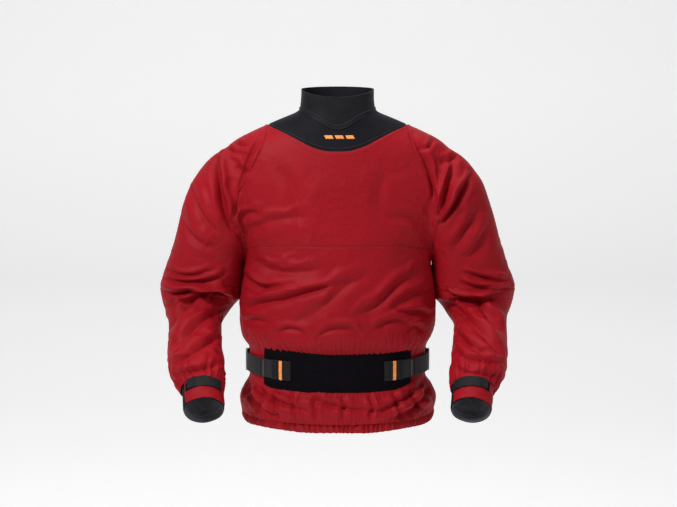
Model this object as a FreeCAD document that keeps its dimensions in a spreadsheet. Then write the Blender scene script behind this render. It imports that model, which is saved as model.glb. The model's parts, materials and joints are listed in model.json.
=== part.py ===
"""Paddling top for kayaking: a waterproof pullover with a neck seal, closed cuffs and an adjustable waist.

Every length is in millimetres. The origin is the centre of the neck seal, +Z is up along it and -Y is the
wearer's front. Left and right are the wearer's, so the left sleeve is on the +X side, and the right one is its
mirror image. Heights are written as drops below the origin. Cloth is a plain shell, a little thicker than
real cloth. The forearm and the cuff are modelled hanging straight down from the elbow and then placed.
"""

import FreeCAD, Part

import math
import os
import re

import Sketcher
from FreeCAD import Placement, Rotation, Vector

PARTS_FOLDER = "parts"
RING_POINTS = 16  # points that a sleeve's ring is drawn through
ELBOW_STEPS = 6  # rings from one end of the bent cloth to the other

SIZES = {
    # thicknesses and clearances
    "cloth": (2.0, "cloth shell"),
    "neoprene": (3.0, "neoprene"),
    "webbing": (1.8, "webbing"),
    "layer_gap": (0.4, "clearance between two layers"),
    "joint_gap": (1.3, "clearance between pieces that move apart"),
    "reach": (2000.0, "cutting tools that go right through"),
    # neck
    "neck_radius": (68.0, "inner radius of the neck seal"),
    "neck_foot_radius": (76.0, "outside of the neck seal where the collar starts"),
    "neck_above": (38.0, "neck seal above the origin"),
    "neck_below": (14.0, "neck seal below the origin"),
    "collar_half_width": (141.0, "collar's edge at a shoulder"),
    "collar_half_depth": (92.0, "collar's edge at the front"),
    # shoulders and chest, each as half width, half depth and drop
    "slope_half_width": (141.0, "shoulder line at the collar's edge"),
    "slope_half_depth": (82.0, "body there"),
    "slope_drop": (34.0, "drop there"),
    "head_half_width": (247.0, "shoulder line over the upper arm"),
    "head_half_depth": (97.0, "body there"),
    "head_drop": (95.0, "drop there"),
    "chest_half_width": (240.0, "upper chest with the sleeve heads"),
    "chest_half_depth": (114.0, "body there"),
    "chest_drop": (165.0, "drop there"),
    "pit_half_width": (187.0, "body under the arms"),
    "pit_half_depth": (130.0, "body there"),
    "pit_drop": (300.0, "drop there"),
    "seam_drop": (284.0, "seam across the chest"),
    # blouse above the belt
    "blouse_half_width": (204.5, "fullest part of the blouse"),
    "blouse_half_depth": (134.0, "body there"),
    "blouse_above_waist": (84.0, "height of the fullest part above the belt"),
    "body_length": (197.0, "from the chest seam to the waistband"),
    # waistband, skirt and hem
    "waist_half_width": (183.0, "waistband"),
    "waist_half_depth": (115.0, "waistband"),
    "waist_height": (85.0, "waistband"),
    "skirt_half_width": (209.0, "fullest part of the skirt"),
    "skirt_half_depth": (130.0, "skirt there"),
    "skirt_fullest": (39.0, "fullest part below the waistband"),
    "skirt_length": (62.0, "from the waistband to the hem"),
    "hem_half_width": (200.0, "hem casing"),
    "hem_half_depth": (125.0, "hem casing"),
    "hem_height": (22.0, "hem casing"),
    "hem_fold": (1.2, "one layer of the hem casing"),
    "elastic": (1.6, "thickness of the hem elastic"),
    "elastic_width": (14.0, "hem elastic"),
    # tunnel inside the skirt, which goes under a spray deck's own tunnel
    "tunnel_length": (144.0, "inner tunnel"),
    "tunnel_taper": (22.0, "how far its lower edge stands inside its upper edge"),
    "grip_height": (18.0, "grip strip inside its lower edge"),
    "grip": (1.5, "thickness of the grip strip"),
    # belt
    "panel_half_width": (150.0, "loop panel on the front, at its ends"),
    "belt_width": (38.0, "belt webbing"),
    "tab_root": (151.0, "where a belt end peels from"),
    "tab_grip_from": (127.0, "where its ribbed grip starts"),
    "tab_tip": (93.0, "where it ends"),
    "tab_extra": (1.5, "how much wider than the belt the grip is, above and below"),
    "tab_grip": (1.4, "thickness of the grip"),
    "hook": (1.0, "thickness of a hook pad"),
    "rib": (0.8, "height and width of a rib"),
    "rib_pitch": (4.2, "from rib to rib"),
    "stripe_from": (116.0, "coloured bar on the grip, outer edge"),
    "stripe_to": (107.0, "coloured bar on the grip, inner edge"),
    "stripe": (0.6, "thickness of the coloured bar above the ribs"),
    "ring_bar": (3.6, "belt ring's bars"),
    "ring_length": (22.0, "belt ring, along the belt"),
    "keeper_from_middle": (95.0, "keeper loops on the back"),
    "keeper_width": (16.0, "keeper loop"),
    "keeper_wall": (1.2, "keeper loop"),
    # armhole and upper sleeve, each ring by its outer and inner end in the front view
    "armhole": (190.0, "plane of the armhole"),
    "armhole_top": (63.0, "drop of its top"),
    "armhole_foot": (291.0, "drop of its foot"),
    "armhole_half_depth": (69.0, "armhole, front to back"),
    "cap_out": (262.0, "sleeve cap, outer end"),
    "cap_out_drop": (99.0, "its drop"),
    "cap_in": (197.0, "sleeve cap, inner end"),
    "cap_in_drop": (303.0, "its drop"),
    "cap_half_depth": (76.0, "sleeve cap, front to back"),
    "arm_out": (318.0, "upper arm, outer end"),
    "arm_out_drop": (193.0, "its drop"),
    "arm_in": (207.0, "upper arm, inner end"),
    "arm_in_drop": (324.0, "its drop"),
    "arm_half_depth": (74.0, "upper arm, front to back"),
    "arm_back": (9.0, "how far its centre stands behind the middle"),
    "low_out": (339.0, "lower end of the upper sleeve, outer end"),
    "low_out_drop": (307.0, "its drop"),
    "low_in": (209.0, "lower end of the upper sleeve, inner end"),
    "low_in_drop": (352.0, "its drop"),
    "low_half_depth": (67.0, "lower end of the upper sleeve, front to back"),
    "low_back": (21.0, "how far its centre stands behind the middle"),
    # elbow and forearm
    "elbow_out": (292.0, "centre of the elbow from the middle"),
    "elbow_back": (30.0, "centre of the elbow behind the middle"),
    "elbow_drop": (400.0, "centre of the elbow below the origin"),
    "elbow_half_width": (77.0, "sleeve at the elbow"),
    "elbow_half_depth": (70.0, "sleeve at the elbow"),
    "elbow_zone": (75.0, "cloth that bends, each way from the elbow"),
    "forearm_bend": (54.0, "degrees that the forearm leans forward from hanging"),
    "forearm_turn": (7.0, "degrees that it turns inwards"),
    "forearm_length": (237.0, "from the elbow to the cuff"),
    "forearm_half_width": (64.0, "forearm sleeve at its upper end"),
    "forearm_half_depth": (62.0, "forearm sleeve at its upper end"),
    "forearm_full": (60.0, "fullest part of the gathered end"),
    "gather_length": (42.0, "gathered end above the cuff"),
    # cuff
    "cuff_radius": (40.5, "outside of the neoprene cuff"),
    "cuff_length": (62.0, "cuff"),
    "cuff_overlap": (9.0, "sleeve over the cuff"),
    "lining": (1.4, "thickness of the cuff's lining"),
    "flap": (1.6, "thickness of the cuff's front flap"),
    "flap_angle": (165.0, "degrees of the cuff under the front flap"),
    "patch": (0.9, "thickness of the loop patch"),
    "patch_angle": (96.0, "degrees of the cuff under the loop patch"),
    "strap_angle": (84.0, "degrees of the cuff under the strap"),
    "strap_width": (24.0, "cuff strap"),
    "strap_thick": (1.8, "cuff strap"),
    "strap_from_mouth": (27.0, "from the cuff's mouth to the strap"),
    "anchor_angle": (11.0, "degrees of the sewn end of the strap"),
    "tip_angle": (26.0, "degrees of the ribbed tip of the strap"),
    "tip_rib_step": (4.6, "degrees from rib to rib on the tip"),
    # wrist seal
    "wrist_radius": (27.0, "inner radius of the wrist seal"),
    "wrist_wall": (1.2, "thickness of the wrist seal"),
    "wrist_tube": (20.0, "straight end of the wrist seal"),
    "wrist_cone": (26.0, "cone of the wrist seal"),
    "wrist_band": (8.0, "wrist seal's glued band inside the cuff"),
    "wrist_inside": (5.0, "from the cuff's mouth to the wrist seal's edge"),
}

doc = FreeCAD.newDocument("paddling_top")
sheet = doc.addObject("Spreadsheet::Sheet", "Sizes")
for row, (alias, (value, note)) in enumerate(SIZES.items(), 1):
    sheet.set(f"A{row}", note)
    sheet.set(f"B{row}", str(value))
    sheet.setAlias(f"B{row}", alias)
doc.recompute()


def size(alias):
    """A driving dimension's value."""
    return float(sheet.get(alias))


def bind(thing, prop, formula):
    """Binds one property to a formula written with the sheet's aliases."""
    words = re.sub(r"[a-z_]+", lambda word: f"Sizes.{word[0]}" if word[0] in SIZES else word[0], formula)
    thing.setExpression(prop, words)


def place(thing, x="0", y="0", z="0", turn=None):
    """Puts a thing at a bound point, turned by a rotation."""
    if turn is not None:
        thing.Placement = Placement(Vector(), turn)
    for axis, formula in (("x", x), ("y", y), ("z", z)):
        bind(thing, f"Placement.Base.{axis}", formula)
    return thing


# ------------------------------------------------------------------ solids


def ring(name, half_x, half_y, drop="0"):
    """A level ellipse round the Z axis."""
    ellipse = doc.addObject("Part::Ellipse", name)
    bind(ellipse, "MajorRadius", half_x)
    bind(ellipse, "MinorRadius", half_y)
    return place(ellipse, z=f"-({drop})")


def loft(name, rings):
    """A solid through rings."""
    solid = doc.addObject("Part::Loft", name)
    solid.Sections = rings
    solid.Solid = True
    return solid


def prism(name, base, height):
    """A ring pulled straight up."""
    solid = doc.addObject("Part::Extrusion", name)
    solid.Base = base
    solid.DirMode = "Custom"
    solid.Dir = Vector(0, 0, 1)
    solid.Solid = True
    bind(solid, "LengthFwd", height)
    return solid


def cut(name, base, tool):
    """The base less the tool."""
    result = doc.addObject("Part::Cut", name)
    result.Base = base
    result.Tool = tool
    return result


def common(name, base, tool):
    """What the base and the tool share."""
    result = doc.addObject("Part::Common", name)
    result.Base = base
    result.Tool = tool
    return result


def fuse(name, *solids):
    """Several solids joined."""
    result = doc.addObject("Part::MultiFuse", name)
    result.Shapes = list(solids)
    return result


def box(name, x_range, y_range, z_range):
    """A box between bound limits."""
    solid = doc.addObject("Part::Box", name)
    for prop, (low, high) in zip(("Length", "Width", "Height"), (x_range, y_range, z_range)):
        bind(solid, prop, f"({high}) - ({low})")
    return place(solid, x_range[0], y_range[0], z_range[0])


ANY = ("-reach / 2", "reach / 2")
FRONT, BACK = ("-reach / 2", "0"), ("0", "reach / 2")


def drops(top, bottom):
    """The height range between two drops."""
    return f"-({bottom})", f"-({top})"


def shell(name, levels, wall, top_open=True):
    """A shell through level ellipses, each (half width, half depth, drop), open at both ends."""
    outer = [ring(f"{name}_out{i}", a, b, drop) for i, (a, b, drop) in enumerate(levels)]
    inner = [
        ring(f"{name}_in{i}", f"{a} - {wall}", f"{b} - {wall}", drop if i in (0, len(levels) - 1) else f"{drop} + {wall}")
        for i, (a, b, drop) in enumerate(levels)
    ]
    return cut(name, loft(name + "_outer", outer), loft(name + "_inner", inner))


def band(name, half_x, half_y, wall, span, out="0"):
    """An upright elliptical band; its inner face stands `out` outside half_x by half_y."""
    height = f"({span[1]}) - ({span[0]})"
    rings = [
        ring(f"{name}_{side}", f"{half_x} + {out}{more}", f"{half_y} + {out}{more}", f"-({span[0]})")
        for side, more in (("out", f" + {wall}"), ("in", ""))
    ]
    return cut(name, prism(name + "_outer", rings[0], height), prism(name + "_inner", rings[1], height))


def sector(name, radius, wall, height, low, start, sweep):
    """Part of an upright tube: its inner radius, wall, height, foot and degrees; start 0 is +X."""
    solids = []
    for side, more in (("out", f" + {wall}"), ("in", "")):
        cylinder = doc.addObject("Part::Cylinder", f"{name}_{side}")
        bind(cylinder, "Radius", radius + more)
        bind(cylinder, "Height", height)
        bind(cylinder, "Angle", sweep)
        cylinder.Placement = Placement(Vector(), Rotation(Vector(0, 0, 1), 1))
        bind(cylinder, "Placement.Rotation.Angle", start)
        bind(cylinder, "Placement.Base.z", low)
        solids.append(cylinder)
    return cut(name, *solids)


def outline(sketch, points):
    """A closed outline in a sketch, each corner bound to its own pair of formulas."""
    first = sketch.GeometryCount
    count = len(points)
    corners = [Vector(10 + 7 * i, 10 + 5 * i * (count - i), 0) for i in range(count)]
    for i in range(count):
        sketch.addGeometry(Part.LineSegment(corners[i], corners[(i + 1) % count]), False)
    for i in range(count):
        following = first + (i + 1) % count
        sketch.addConstraint(Sketcher.Constraint("Coincident", first + i, 2, following, 1))
    for i, point in enumerate(points):
        for kind, start, formula in zip(("DistanceX", "DistanceY"), corners[i], point):
            index = sketch.addConstraint(Sketcher.Constraint(kind, -1, 1, first + i, 1, start))
            bind(sketch, f"Constraints[{index}]", formula)


def sketched_body(name, plane_role, *outlines):
    """A PartDesign body with a first sketch on one of its own planes."""
    body = doc.addObject("PartDesign::Body", name)
    sketch = body.newObject("Sketcher::SketchObject", name + "_sketch")
    plane = next(feature for feature in body.Origin.OriginFeatures if feature.Role == plane_role)
    sketch.AttachmentSupport = [(plane, "")]
    sketch.MapMode = "FlatFace"
    for points in outlines:
        outline(sketch, points)
    return body, sketch


def turned(name, points):
    """A body turned round its own Z axis from a profile of (radius, height)."""
    body, sketch = sketched_body(name, "XZ_Plane", points)
    turn = body.newObject("PartDesign::Revolution", name + "_turn")
    turn.Profile = sketch
    turn.ReferenceAxis = (sketch, ["V_Axis"])
    turn.Angle = 360
    return body


# ------------------------------------------------------------------ naming, sides and placing

sub_parts = []


def finish(thing, label):
    """Gives a sub-part the name that it is known by."""
    thing.Label = label
    sub_parts.append(thing)
    return thing


def finish_pair(left, label):
    """Names a left sub-part and adds its mirror image on the right."""
    mirror = doc.addObject("Part::Mirroring", "right_" + label)
    mirror.Source = left
    mirror.Normal = Vector(1, 0, 0)
    finish(left, "left_" + label)
    finish(mirror, "right_" + label)


def on_forearm(thing, share=1.0, drop="0"):
    """Turns a thing that hangs at the elbow into the forearm's lean, or a share of it, some way down it."""
    lean = Rotation(Vector(1, 0, 0), -size("forearm_bend") * share)
    turn = Rotation(Vector(0, 0, 1), -size("forearm_turn") * share)
    return place(
        thing,
        f"elbow_out - ({drop}) * sin(forearm_bend) * sin(forearm_turn)",
        f"elbow_back - ({drop}) * sin(forearm_bend) * cos(forearm_turn)",
        f"-elbow_drop - ({drop}) * cos(forearm_bend)",
        turn=turn * lean,
    )


# ------------------------------------------------------------------ levels down the body

SEAM = "seam_drop"
WAIST_TOP = "seam_drop + body_length"
WAIST_FOOT = WAIST_TOP + " + waist_height"
HEM_TOP = WAIST_FOOT + " + skirt_length"
HEM_FOOT = HEM_TOP + " + hem_height"
BELT_MIDDLE = WAIST_TOP + " + waist_height / 2"
WAIST = ("waist_half_width", "waist_half_depth")
SPLIT = "layer_gap / 2"

# ------------------------------------------------------------------ neck seal, collar and body cloth

neck = turned("neck_seal", [
    ("neck_radius", "0"),
    ("neck_foot_radius", "0"),
    ("neck_radius + neoprene * 1.3", "neck_below * 1.6"),
    ("neck_radius + neoprene", "neck_below + neck_above"),
    ("neck_radius", "neck_below + neck_above"),
])
finish(place(neck, z="-neck_below"), "neck_seal")

body_shell = shell("body_shell", [
    ("neck_foot_radius + layer_gap + cloth", "neck_foot_radius + layer_gap + cloth", "neck_below - cloth"),
    ("slope_half_width", "slope_half_depth", "slope_drop"),
    ("head_half_width", "head_half_depth", "head_drop"),
    ("chest_half_width", "chest_half_depth", "chest_drop"),
    ("pit_half_width", "pit_half_depth", "pit_drop"),
    ("blouse_half_width", "blouse_half_depth", f"({WAIST_TOP} - blouse_above_waist)"),
    ("waist_half_width", "waist_half_depth", f"({WAIST_TOP})"),
], "cloth")
arm_rooms = [
    box("left_arm_room", ("armhole", "reach / 2"), ANY, ("-armhole_foot", "reach / 2")),
    box("right_arm_room", ("-reach / 2", "-armhole"), ANY, ("-armhole_foot", "reach / 2")),
]
body_cloth = cut("body_cloth", body_shell, fuse("arm_rooms", *arm_rooms))


def collar_prism(name, out="0"):
    """Everything above the collar's edge as seen from above."""
    edge = ring(name + "_edge", f"collar_half_width + {out}", f"collar_half_depth + {out}", "reach / 2")
    return prism(name, edge, "reach")


high = box("above_chest_seam", ANY, ANY, drops("-reach / 4", "chest_drop"))
collar_zone = common("collar_zone", collar_prism("collar_area"), high)
finish(common("collar", body_cloth, collar_zone), "collar_yoke")
below_collar = cut("below_collar", body_cloth, common("collar_room", collar_prism("collar_clear", "layer_gap"), high))
for label, side, top, bottom in (
    ("chest_front", ("-reach / 2", f"-{SPLIT}"), "-reach / 4", f"{SEAM} - {SPLIT}"),
    ("upper_back", (SPLIT, "reach / 2"), "-reach / 4", f"{SEAM} - {SPLIT}"),
    ("belly_front", ("-reach / 2", f"-{SPLIT}"), f"{SEAM} + {SPLIT}", f"{WAIST_TOP} - {SPLIT}"),
    ("lower_back", (SPLIT, "reach / 2"), f"{SEAM} + {SPLIT}", f"{WAIST_TOP} - {SPLIT}"),
):
    area = box(label + "_area", ANY, side, drops(top, bottom))
    finish(common(label, below_collar, area), label)

# ------------------------------------------------------------------ waistband, skirt, hem and inner tunnel

waistband = band("waistband", *WAIST, "cloth", drops(WAIST_TOP, WAIST_FOOT), out="-cloth")
finish(waistband, "waistband")

skirt_shell = shell("skirt_shell", [
    ("waist_half_width", "waist_half_depth", f"({WAIST_FOOT} + {SPLIT})"),
    ("skirt_half_width", "skirt_half_depth", f"({WAIST_FOOT} + skirt_fullest)"),
    ("hem_half_width", "hem_half_depth", f"({HEM_TOP} - {SPLIT})"),
], "cloth")
for label, side in (("skirt_front", ("-reach / 2", f"-{SPLIT}")), ("skirt_back", (SPLIT, "reach / 2"))):
    area = box(label + "_area", ANY, side, drops(WAIST_FOOT, HEM_FOOT))
    finish(common(label, skirt_shell, area), label)

HEM_ROOM = "elastic + 2 * layer_gap"
HEM_WALL = f"({HEM_ROOM} + 2 * hem_fold)"
casing = band("hem_block", "hem_half_width", "hem_half_depth", HEM_WALL, drops(HEM_TOP, HEM_FOOT), out=f"-{HEM_WALL}")
channel_span = drops(
    f"{HEM_TOP} + (hem_height - elastic_width) / 2 - layer_gap",
    f"{HEM_FOOT} - (hem_height - elastic_width) / 2 + layer_gap",
)
channel = band("hem_channel", "hem_half_width", "hem_half_depth", HEM_ROOM, channel_span, out=f"-{HEM_WALL} + hem_fold")
finish(cut("hem_casing", casing, channel), "hem_casing")
elastic_span = drops(
    f"{HEM_TOP} + (hem_height - elastic_width) / 2",
    f"{HEM_FOOT} - (hem_height - elastic_width) / 2",
)
hem_elastic = band(
    "hem_elastic", "hem_half_width", "hem_half_depth", "elastic", elastic_span,
    out=f"-{HEM_WALL} + hem_fold + layer_gap",
)
finish(hem_elastic, "hem_elastic")

tunnel_top = ("(waist_half_width - cloth - layer_gap)", "(waist_half_depth - cloth - layer_gap)", f"({WAIST_TOP} + belt_width / 2)")
TUNNEL_FOOT = f"{tunnel_top[2]} + tunnel_length"
tunnel_low = (f"({tunnel_top[0]} - tunnel_taper)", f"({tunnel_top[1]} - tunnel_taper)", f"({TUNNEL_FOOT})")
finish(shell("inner_tunnel", [tunnel_top, tunnel_low], "cloth"), "inner_tunnel")
grip_top = [f"({low} - cloth - layer_gap)" for low in tunnel_low[:2]]
grip_strip = band("grip_strip", *grip_top, "grip", drops(f"{TUNNEL_FOOT} - grip_height", TUNNEL_FOOT), out="-grip")
finish(grip_strip, "tunnel_grip_strip")

# ------------------------------------------------------------------ belt: layers from the waistband outwards

PANEL_OUT = "layer_gap"
HOOK_OUT = "layer_gap * 2 + neoprene"
STRAP_OUT = HOOK_OUT + " + hook"
GRIP_OUT = STRAP_OUT + " + webbing"
RIB_OUT = GRIP_OUT + " + tab_grip"
BELT_SPAN = (f"-({BELT_MIDDLE}) - belt_width / 2", f"-({BELT_MIDDLE}) + belt_width / 2")
TAB_SPAN = (f"{BELT_SPAN[0]} - tab_extra", f"{BELT_SPAN[1]} + tab_extra")


def belt_piece(name, wall, out, x_range, y_range=FRONT, span=BELT_SPAN):
    """A stretch of one layer round the waist, cut out between two limits."""
    layer = band(name + "_layer", *WAIST, wall, span, out=out)
    return common(name, layer, box(name + "_area", x_range, y_range, span))


panel_span = drops(f"{WAIST_TOP} + {SPLIT}", f"{WAIST_FOOT} - {SPLIT}")
panel = belt_piece("loop_panel", "neoprene", PANEL_OUT, ("-panel_half_width", "panel_half_width"), FRONT, panel_span)
finish(panel, "front_loop_panel")

# a ring at each side joins a front belt end to the webbing round the back
RING_X = f"waist_half_width + {STRAP_OUT} + ring_bar / 2"
RING_HEIGHT = "belt_width + 2 * (ring_bar + layer_gap)"
BAR_Y = "ring_length / 2 - ring_bar / 2"
BAR_ROOM = "ring_bar * 0.72 + layer_gap"
ring_body, ring_sketch = sketched_body(
    "belt_ring", "YZ_Plane",
    [("0", "0"), ("ring_length", "0"), ("ring_length", RING_HEIGHT), ("0", RING_HEIGHT)],
    [("ring_bar", "ring_bar"), ("ring_length - ring_bar", "ring_bar"),
     ("ring_length - ring_bar", f"{RING_HEIGHT} - ring_bar"), ("ring_bar", f"{RING_HEIGHT} - ring_bar")],
)
ring_pad = ring_body.newObject("PartDesign::Pad", "belt_ring_pad")
ring_pad.Profile = ring_sketch
bind(ring_pad, "Length", "ring_bar")
ring_pad.Midplane = True
place(ring_body, RING_X, "-ring_length / 2", f"{BELT_SPAN[0]} - ring_bar - layer_gap")
finish_pair(ring_body, "belt_ring")


def fold_round_bar(name, bar_y):
    """The webbing's fold round one bar of the belt ring."""
    tubes = []
    for part, radius in (("out", f"{BAR_ROOM} + webbing"), ("in", BAR_ROOM)):
        cylinder = doc.addObject("Part::Cylinder", f"{name}_{part}")
        bind(cylinder, "Radius", radius)
        bind(cylinder, "Height", "belt_width")
        tubes.append(place(cylinder, RING_X, bar_y, BELT_SPAN[0]))
    return tubes


def belt_end(name, bar_y, x_range, y_range):
    """A stretch of belt webbing that ends in a fold round a bar of the ring."""
    fold, bar_room = fold_round_bar(name + "_fold", bar_y)
    run = belt_piece(name + "_run", "webbing", STRAP_OUT, x_range, y_range)
    return cut(name, fuse(name + "_whole", run, fold), bar_room)


front_end = belt_end("belt_end", f"-({BAR_Y})", ("tab_root + joint_gap", "reach / 2"), ("-reach / 2", f"-({BAR_Y})"))
finish_pair(front_end, "belt_strap")

left_fold, left_room = fold_round_bar("back_fold", BAR_Y)
right_fold = doc.addObject("Part::Mirroring", "right_back_fold")
right_room = doc.addObject("Part::Mirroring", "right_back_room")
for mirror, source in ((right_fold, left_fold), (right_room, left_room)):
    mirror.Source = source
    mirror.Normal = Vector(1, 0, 0)
back_run = belt_piece("back_run", "webbing", STRAP_OUT, ANY, (BAR_Y, "reach / 2"))
back_whole = fuse("back_whole", back_run, left_fold, right_fold)
finish(cut("back_webbing", back_whole, fuse("back_rooms", left_room, right_room)), "back_belt_webbing")

KEEPER_HALF = "keeper_width / 2"
keeper_span = (f"{BELT_SPAN[0]} - layer_gap - keeper_wall", f"{BELT_SPAN[1]} + layer_gap + keeper_wall")
keeper_x = (f"keeper_from_middle - {KEEPER_HALF}", f"keeper_from_middle + {KEEPER_HALF}")
keeper_depth = f"{STRAP_OUT} + webbing + layer_gap + keeper_wall - layer_gap"
keeper_block = belt_piece("keeper_block", keeper_depth, "layer_gap", keeper_x, BACK, keeper_span)
keeper_room_span = (f"{BELT_SPAN[0]} - layer_gap", f"{BELT_SPAN[1]} + layer_gap")
keeper_room = band(
    "keeper_room", *WAIST, f"{STRAP_OUT} + webbing - keeper_wall", keeper_room_span, out="layer_gap + keeper_wall",
)
finish_pair(cut("keeper", keeper_block, keeper_room), "belt_keeper")

# the belt's free ends: webbing with a hook pad behind it and a ribbed grip with a coloured bar at its tip
GRIP_X = ("tab_tip", "tab_grip_from")
strap_run = belt_piece("tab_run", "webbing", STRAP_OUT, ("tab_tip", "tab_root"))
grip_base = belt_piece("tab_base", "tab_grip", GRIP_OUT, GRIP_X, FRONT, TAB_SPAN)
rib_layer = band("tab_ribs", *WAIST, "rib + 0.1 * tab_grip", TAB_SPAN, out=RIB_OUT + " - 0.1 * tab_grip")
rib_count = int((size("tab_grip_from") - size("tab_tip")) / size("rib_pitch"))
rib_boxes = []
for i in range(rib_count + 1):
    low = f"tab_tip + {i} * rib_pitch"
    rib_boxes.append(box(f"rib_box{i}", (low, low + " + rib"), FRONT, TAB_SPAN))
stripe_room = box("stripe_room", ("stripe_to - layer_gap", "stripe_from + layer_gap"), FRONT, TAB_SPAN)
comb = cut("rib_comb", fuse("rib_boxes", *rib_boxes), stripe_room)
finish_pair(fuse("waist_tab", grip_base, common("tab_rib_set", rib_layer, comb), strap_run), "waist_tab")
pad = belt_piece("hook_pad", "hook - layer_gap / 2", HOOK_OUT, ("tab_tip + rib", "tab_grip_from"))
finish_pair(pad, "waist_hook_pad")
stripe = belt_piece("stripe", "rib + stripe", RIB_OUT, ("stripe_to", "stripe_from"), FRONT, TAB_SPAN)
finish_pair(stripe, "waist_tab_bar")

# ------------------------------------------------------------------ upper sleeve, elbow and forearm sleeve



def slanted_ring(out_x, out_drop, in_x, in_drop, half_depth, back):
    """An ellipse across the sleeve as (half width, half depth, placement), from its two ends in the front view."""
    half_width = math.hypot(out_x - in_x, out_drop - in_drop) / 2
    tilt = math.degrees(math.atan2(out_drop - in_drop, out_x - in_x))
    centre = Vector((out_x + in_x) / 2, back, -(out_drop + in_drop) / 2)
    return half_width, half_depth, Placement(centre, Rotation(Vector(0, 1, 0), tilt))


def named_ring(name, back):
    """The slanted ring whose sizes share one name."""
    ends = [size(f"{name}_{key}") for key in ("out", "out_drop", "in", "in_drop", "half_depth")]
    return slanted_ring(*ends, back)


def solid_through(rings):
    """A closed solid with a smooth skin through rings and a flat end at each side."""
    curves = []
    for half_width, half_depth, where in rings:
        angles = [math.radians(360 / RING_POINTS * k) for k in range(RING_POINTS)]
        points = [where.multVec(Vector(half_width * math.cos(a), half_depth * math.sin(a), 0)) for a in angles]
        curve = Part.BSplineCurve()
        curve.interpolate(Points=points, PeriodicFlag=True)
        curves.append(curve)
    skin = Part.BSplineSurface()
    skin.buildFromNSections(curves)
    caps = [Part.Face(Part.Wire([curve.toShape()])) for curve in (curves[0], curves[-1])]
    outside = Part.makeShell([skin.toShape(), *caps])
    outside.sewShape()
    solid = Part.Solid(outside)
    if solid.Volume < 0:
        solid.reverse()
    return solid


def sleeve_shell(name, rings):
    """A shell of cloth through rings, open at both ends."""
    solids = []
    for side, inset in (("out", 0), ("in", size("cloth"))):
        feature = doc.addObject("Part::Feature", f"{name}_{side}")
        feature.Shape = solid_through([(a - inset, b - inset, where) for a, b, where in rings])
        solids.append(feature)
    return cut(name, *solids)


armhole_x = size("armhole") + size("joint_gap")
armhole_ring = slanted_ring(
    armhole_x, size("armhole_top"), armhole_x, size("armhole_foot"), size("armhole_half_depth"), 0,
)
low_ring = named_ring("low", size("low_back"))
sleeve_rings = [armhole_ring, named_ring("cap", size("arm_back") / 3), named_ring("arm", size("arm_back")), low_ring]
finish_pair(sleeve_shell("upper_sleeve", sleeve_rings), "upper_sleeve")

lean = Rotation(Vector(0, 0, 1), -size("forearm_turn")) * Rotation(Vector(1, 0, 0), -size("forearm_bend"))
elbow = Vector(size("elbow_out"), size("elbow_back"), -size("elbow_drop"))
gap_down = low_ring[2].Rotation.multVec(Vector(0, 0, -size("layer_gap")))
first_ring = (low_ring[0], low_ring[1], Placement(low_ring[2].Base + gap_down, low_ring[2].Rotation))
last_centre = elbow + lean.multVec(Vector(0, 0, -size("elbow_zone")))
last_ring = (size("forearm_half_width"), size("forearm_half_depth"), Placement(last_centre, lean))


def bent_ring(share):
    """A ring some share of the way round the elbow, fullest half way."""
    centre = (
        first_ring[2].Base * (1 - share) ** 2
        + elbow * (2 * share * (1 - share))
        + last_centre * share ** 2
    )
    halves = []
    for start, end, full in zip(first_ring, last_ring, (size("elbow_half_width"), size("elbow_half_depth"))):
        straight = start * (1 - share) + end * share
        halves.append(straight + 4 * share * (1 - share) * (full - (start + end) / 2))
    return halves[0], halves[1], Placement(centre, first_ring[2].Rotation.slerp(lean, share))


elbow_rings = [bent_ring(i / ELBOW_STEPS) for i in range(ELBOW_STEPS + 1)]
finish_pair(sleeve_shell("elbow_cloth", elbow_rings), "elbow_cloth")

CUFF_FOOT = "forearm_length + cuff_length"
SLEEVE_END_RADIUS = "(cuff_radius + flap + layer_gap + cloth)"
forearm = shell("forearm", [
    ("forearm_half_width", "forearm_half_depth", "elbow_zone + layer_gap"),
    ("forearm_full", "forearm_full", "forearm_length - gather_length"),
    (SLEEVE_END_RADIUS, SLEEVE_END_RADIUS, "forearm_length + cuff_overlap"),
], "cloth")
finish_pair(on_forearm(forearm), "forearm_sleeve")

# ------------------------------------------------------------------ cuff: layers from the lining outwards

FRONT_ANGLE = 270
BACK_SWEEP = "360 - flap_angle"
strap_low = "-(forearm_length + cuff_length) + strap_from_mouth"
lining = sector("lining", "cuff_radius - neoprene - layer_gap - lining", "lining", "cuff_length", f"-({CUFF_FOOT})", "0", "360")
finish_pair(on_forearm(lining), "cuff_lining")
cuff_tube = sector("cuff_tube", "cuff_radius - neoprene", "neoprene", "cuff_length", f"-({CUFF_FOOT})", "0", "360")
finish_pair(on_forearm(cuff_tube), "cuff_neoprene")
flap_length = "cuff_length - cuff_overlap - layer_gap"
flap = sector("flap", "cuff_radius + layer_gap / 2", "flap", flap_length, f"-({CUFF_FOOT})",
              f"{FRONT_ANGLE} - flap_angle / 2", "flap_angle")
finish_pair(on_forearm(flap), "cuff_flap")
PATCH_RADIUS = "cuff_radius + layer_gap + flap"
patch = sector("patch", PATCH_RADIUS, "patch", "strap_width", strap_low,
               f"{FRONT_ANGLE} - strap_angle / 2", "patch_angle")
finish_pair(on_forearm(patch), "cuff_loop_patch")
STRAP_RADIUS = PATCH_RADIUS + " + patch + layer_gap"
GAP_ANGLE = f"joint_gap / ({STRAP_RADIUS}) * 180 / pi"
anchor = sector("anchor", STRAP_RADIUS, "strap_thick", "strap_width", strap_low,
                f"{FRONT_ANGLE} - strap_angle / 2 - anchor_angle - {GAP_ANGLE}", "anchor_angle")
finish_pair(on_forearm(anchor), "cuff_strap_anchor")
strap_base = sector("strap_base", STRAP_RADIUS, "strap_thick", "strap_width", strap_low,
                    f"{FRONT_ANGLE} - strap_angle / 2", "strap_angle")
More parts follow.
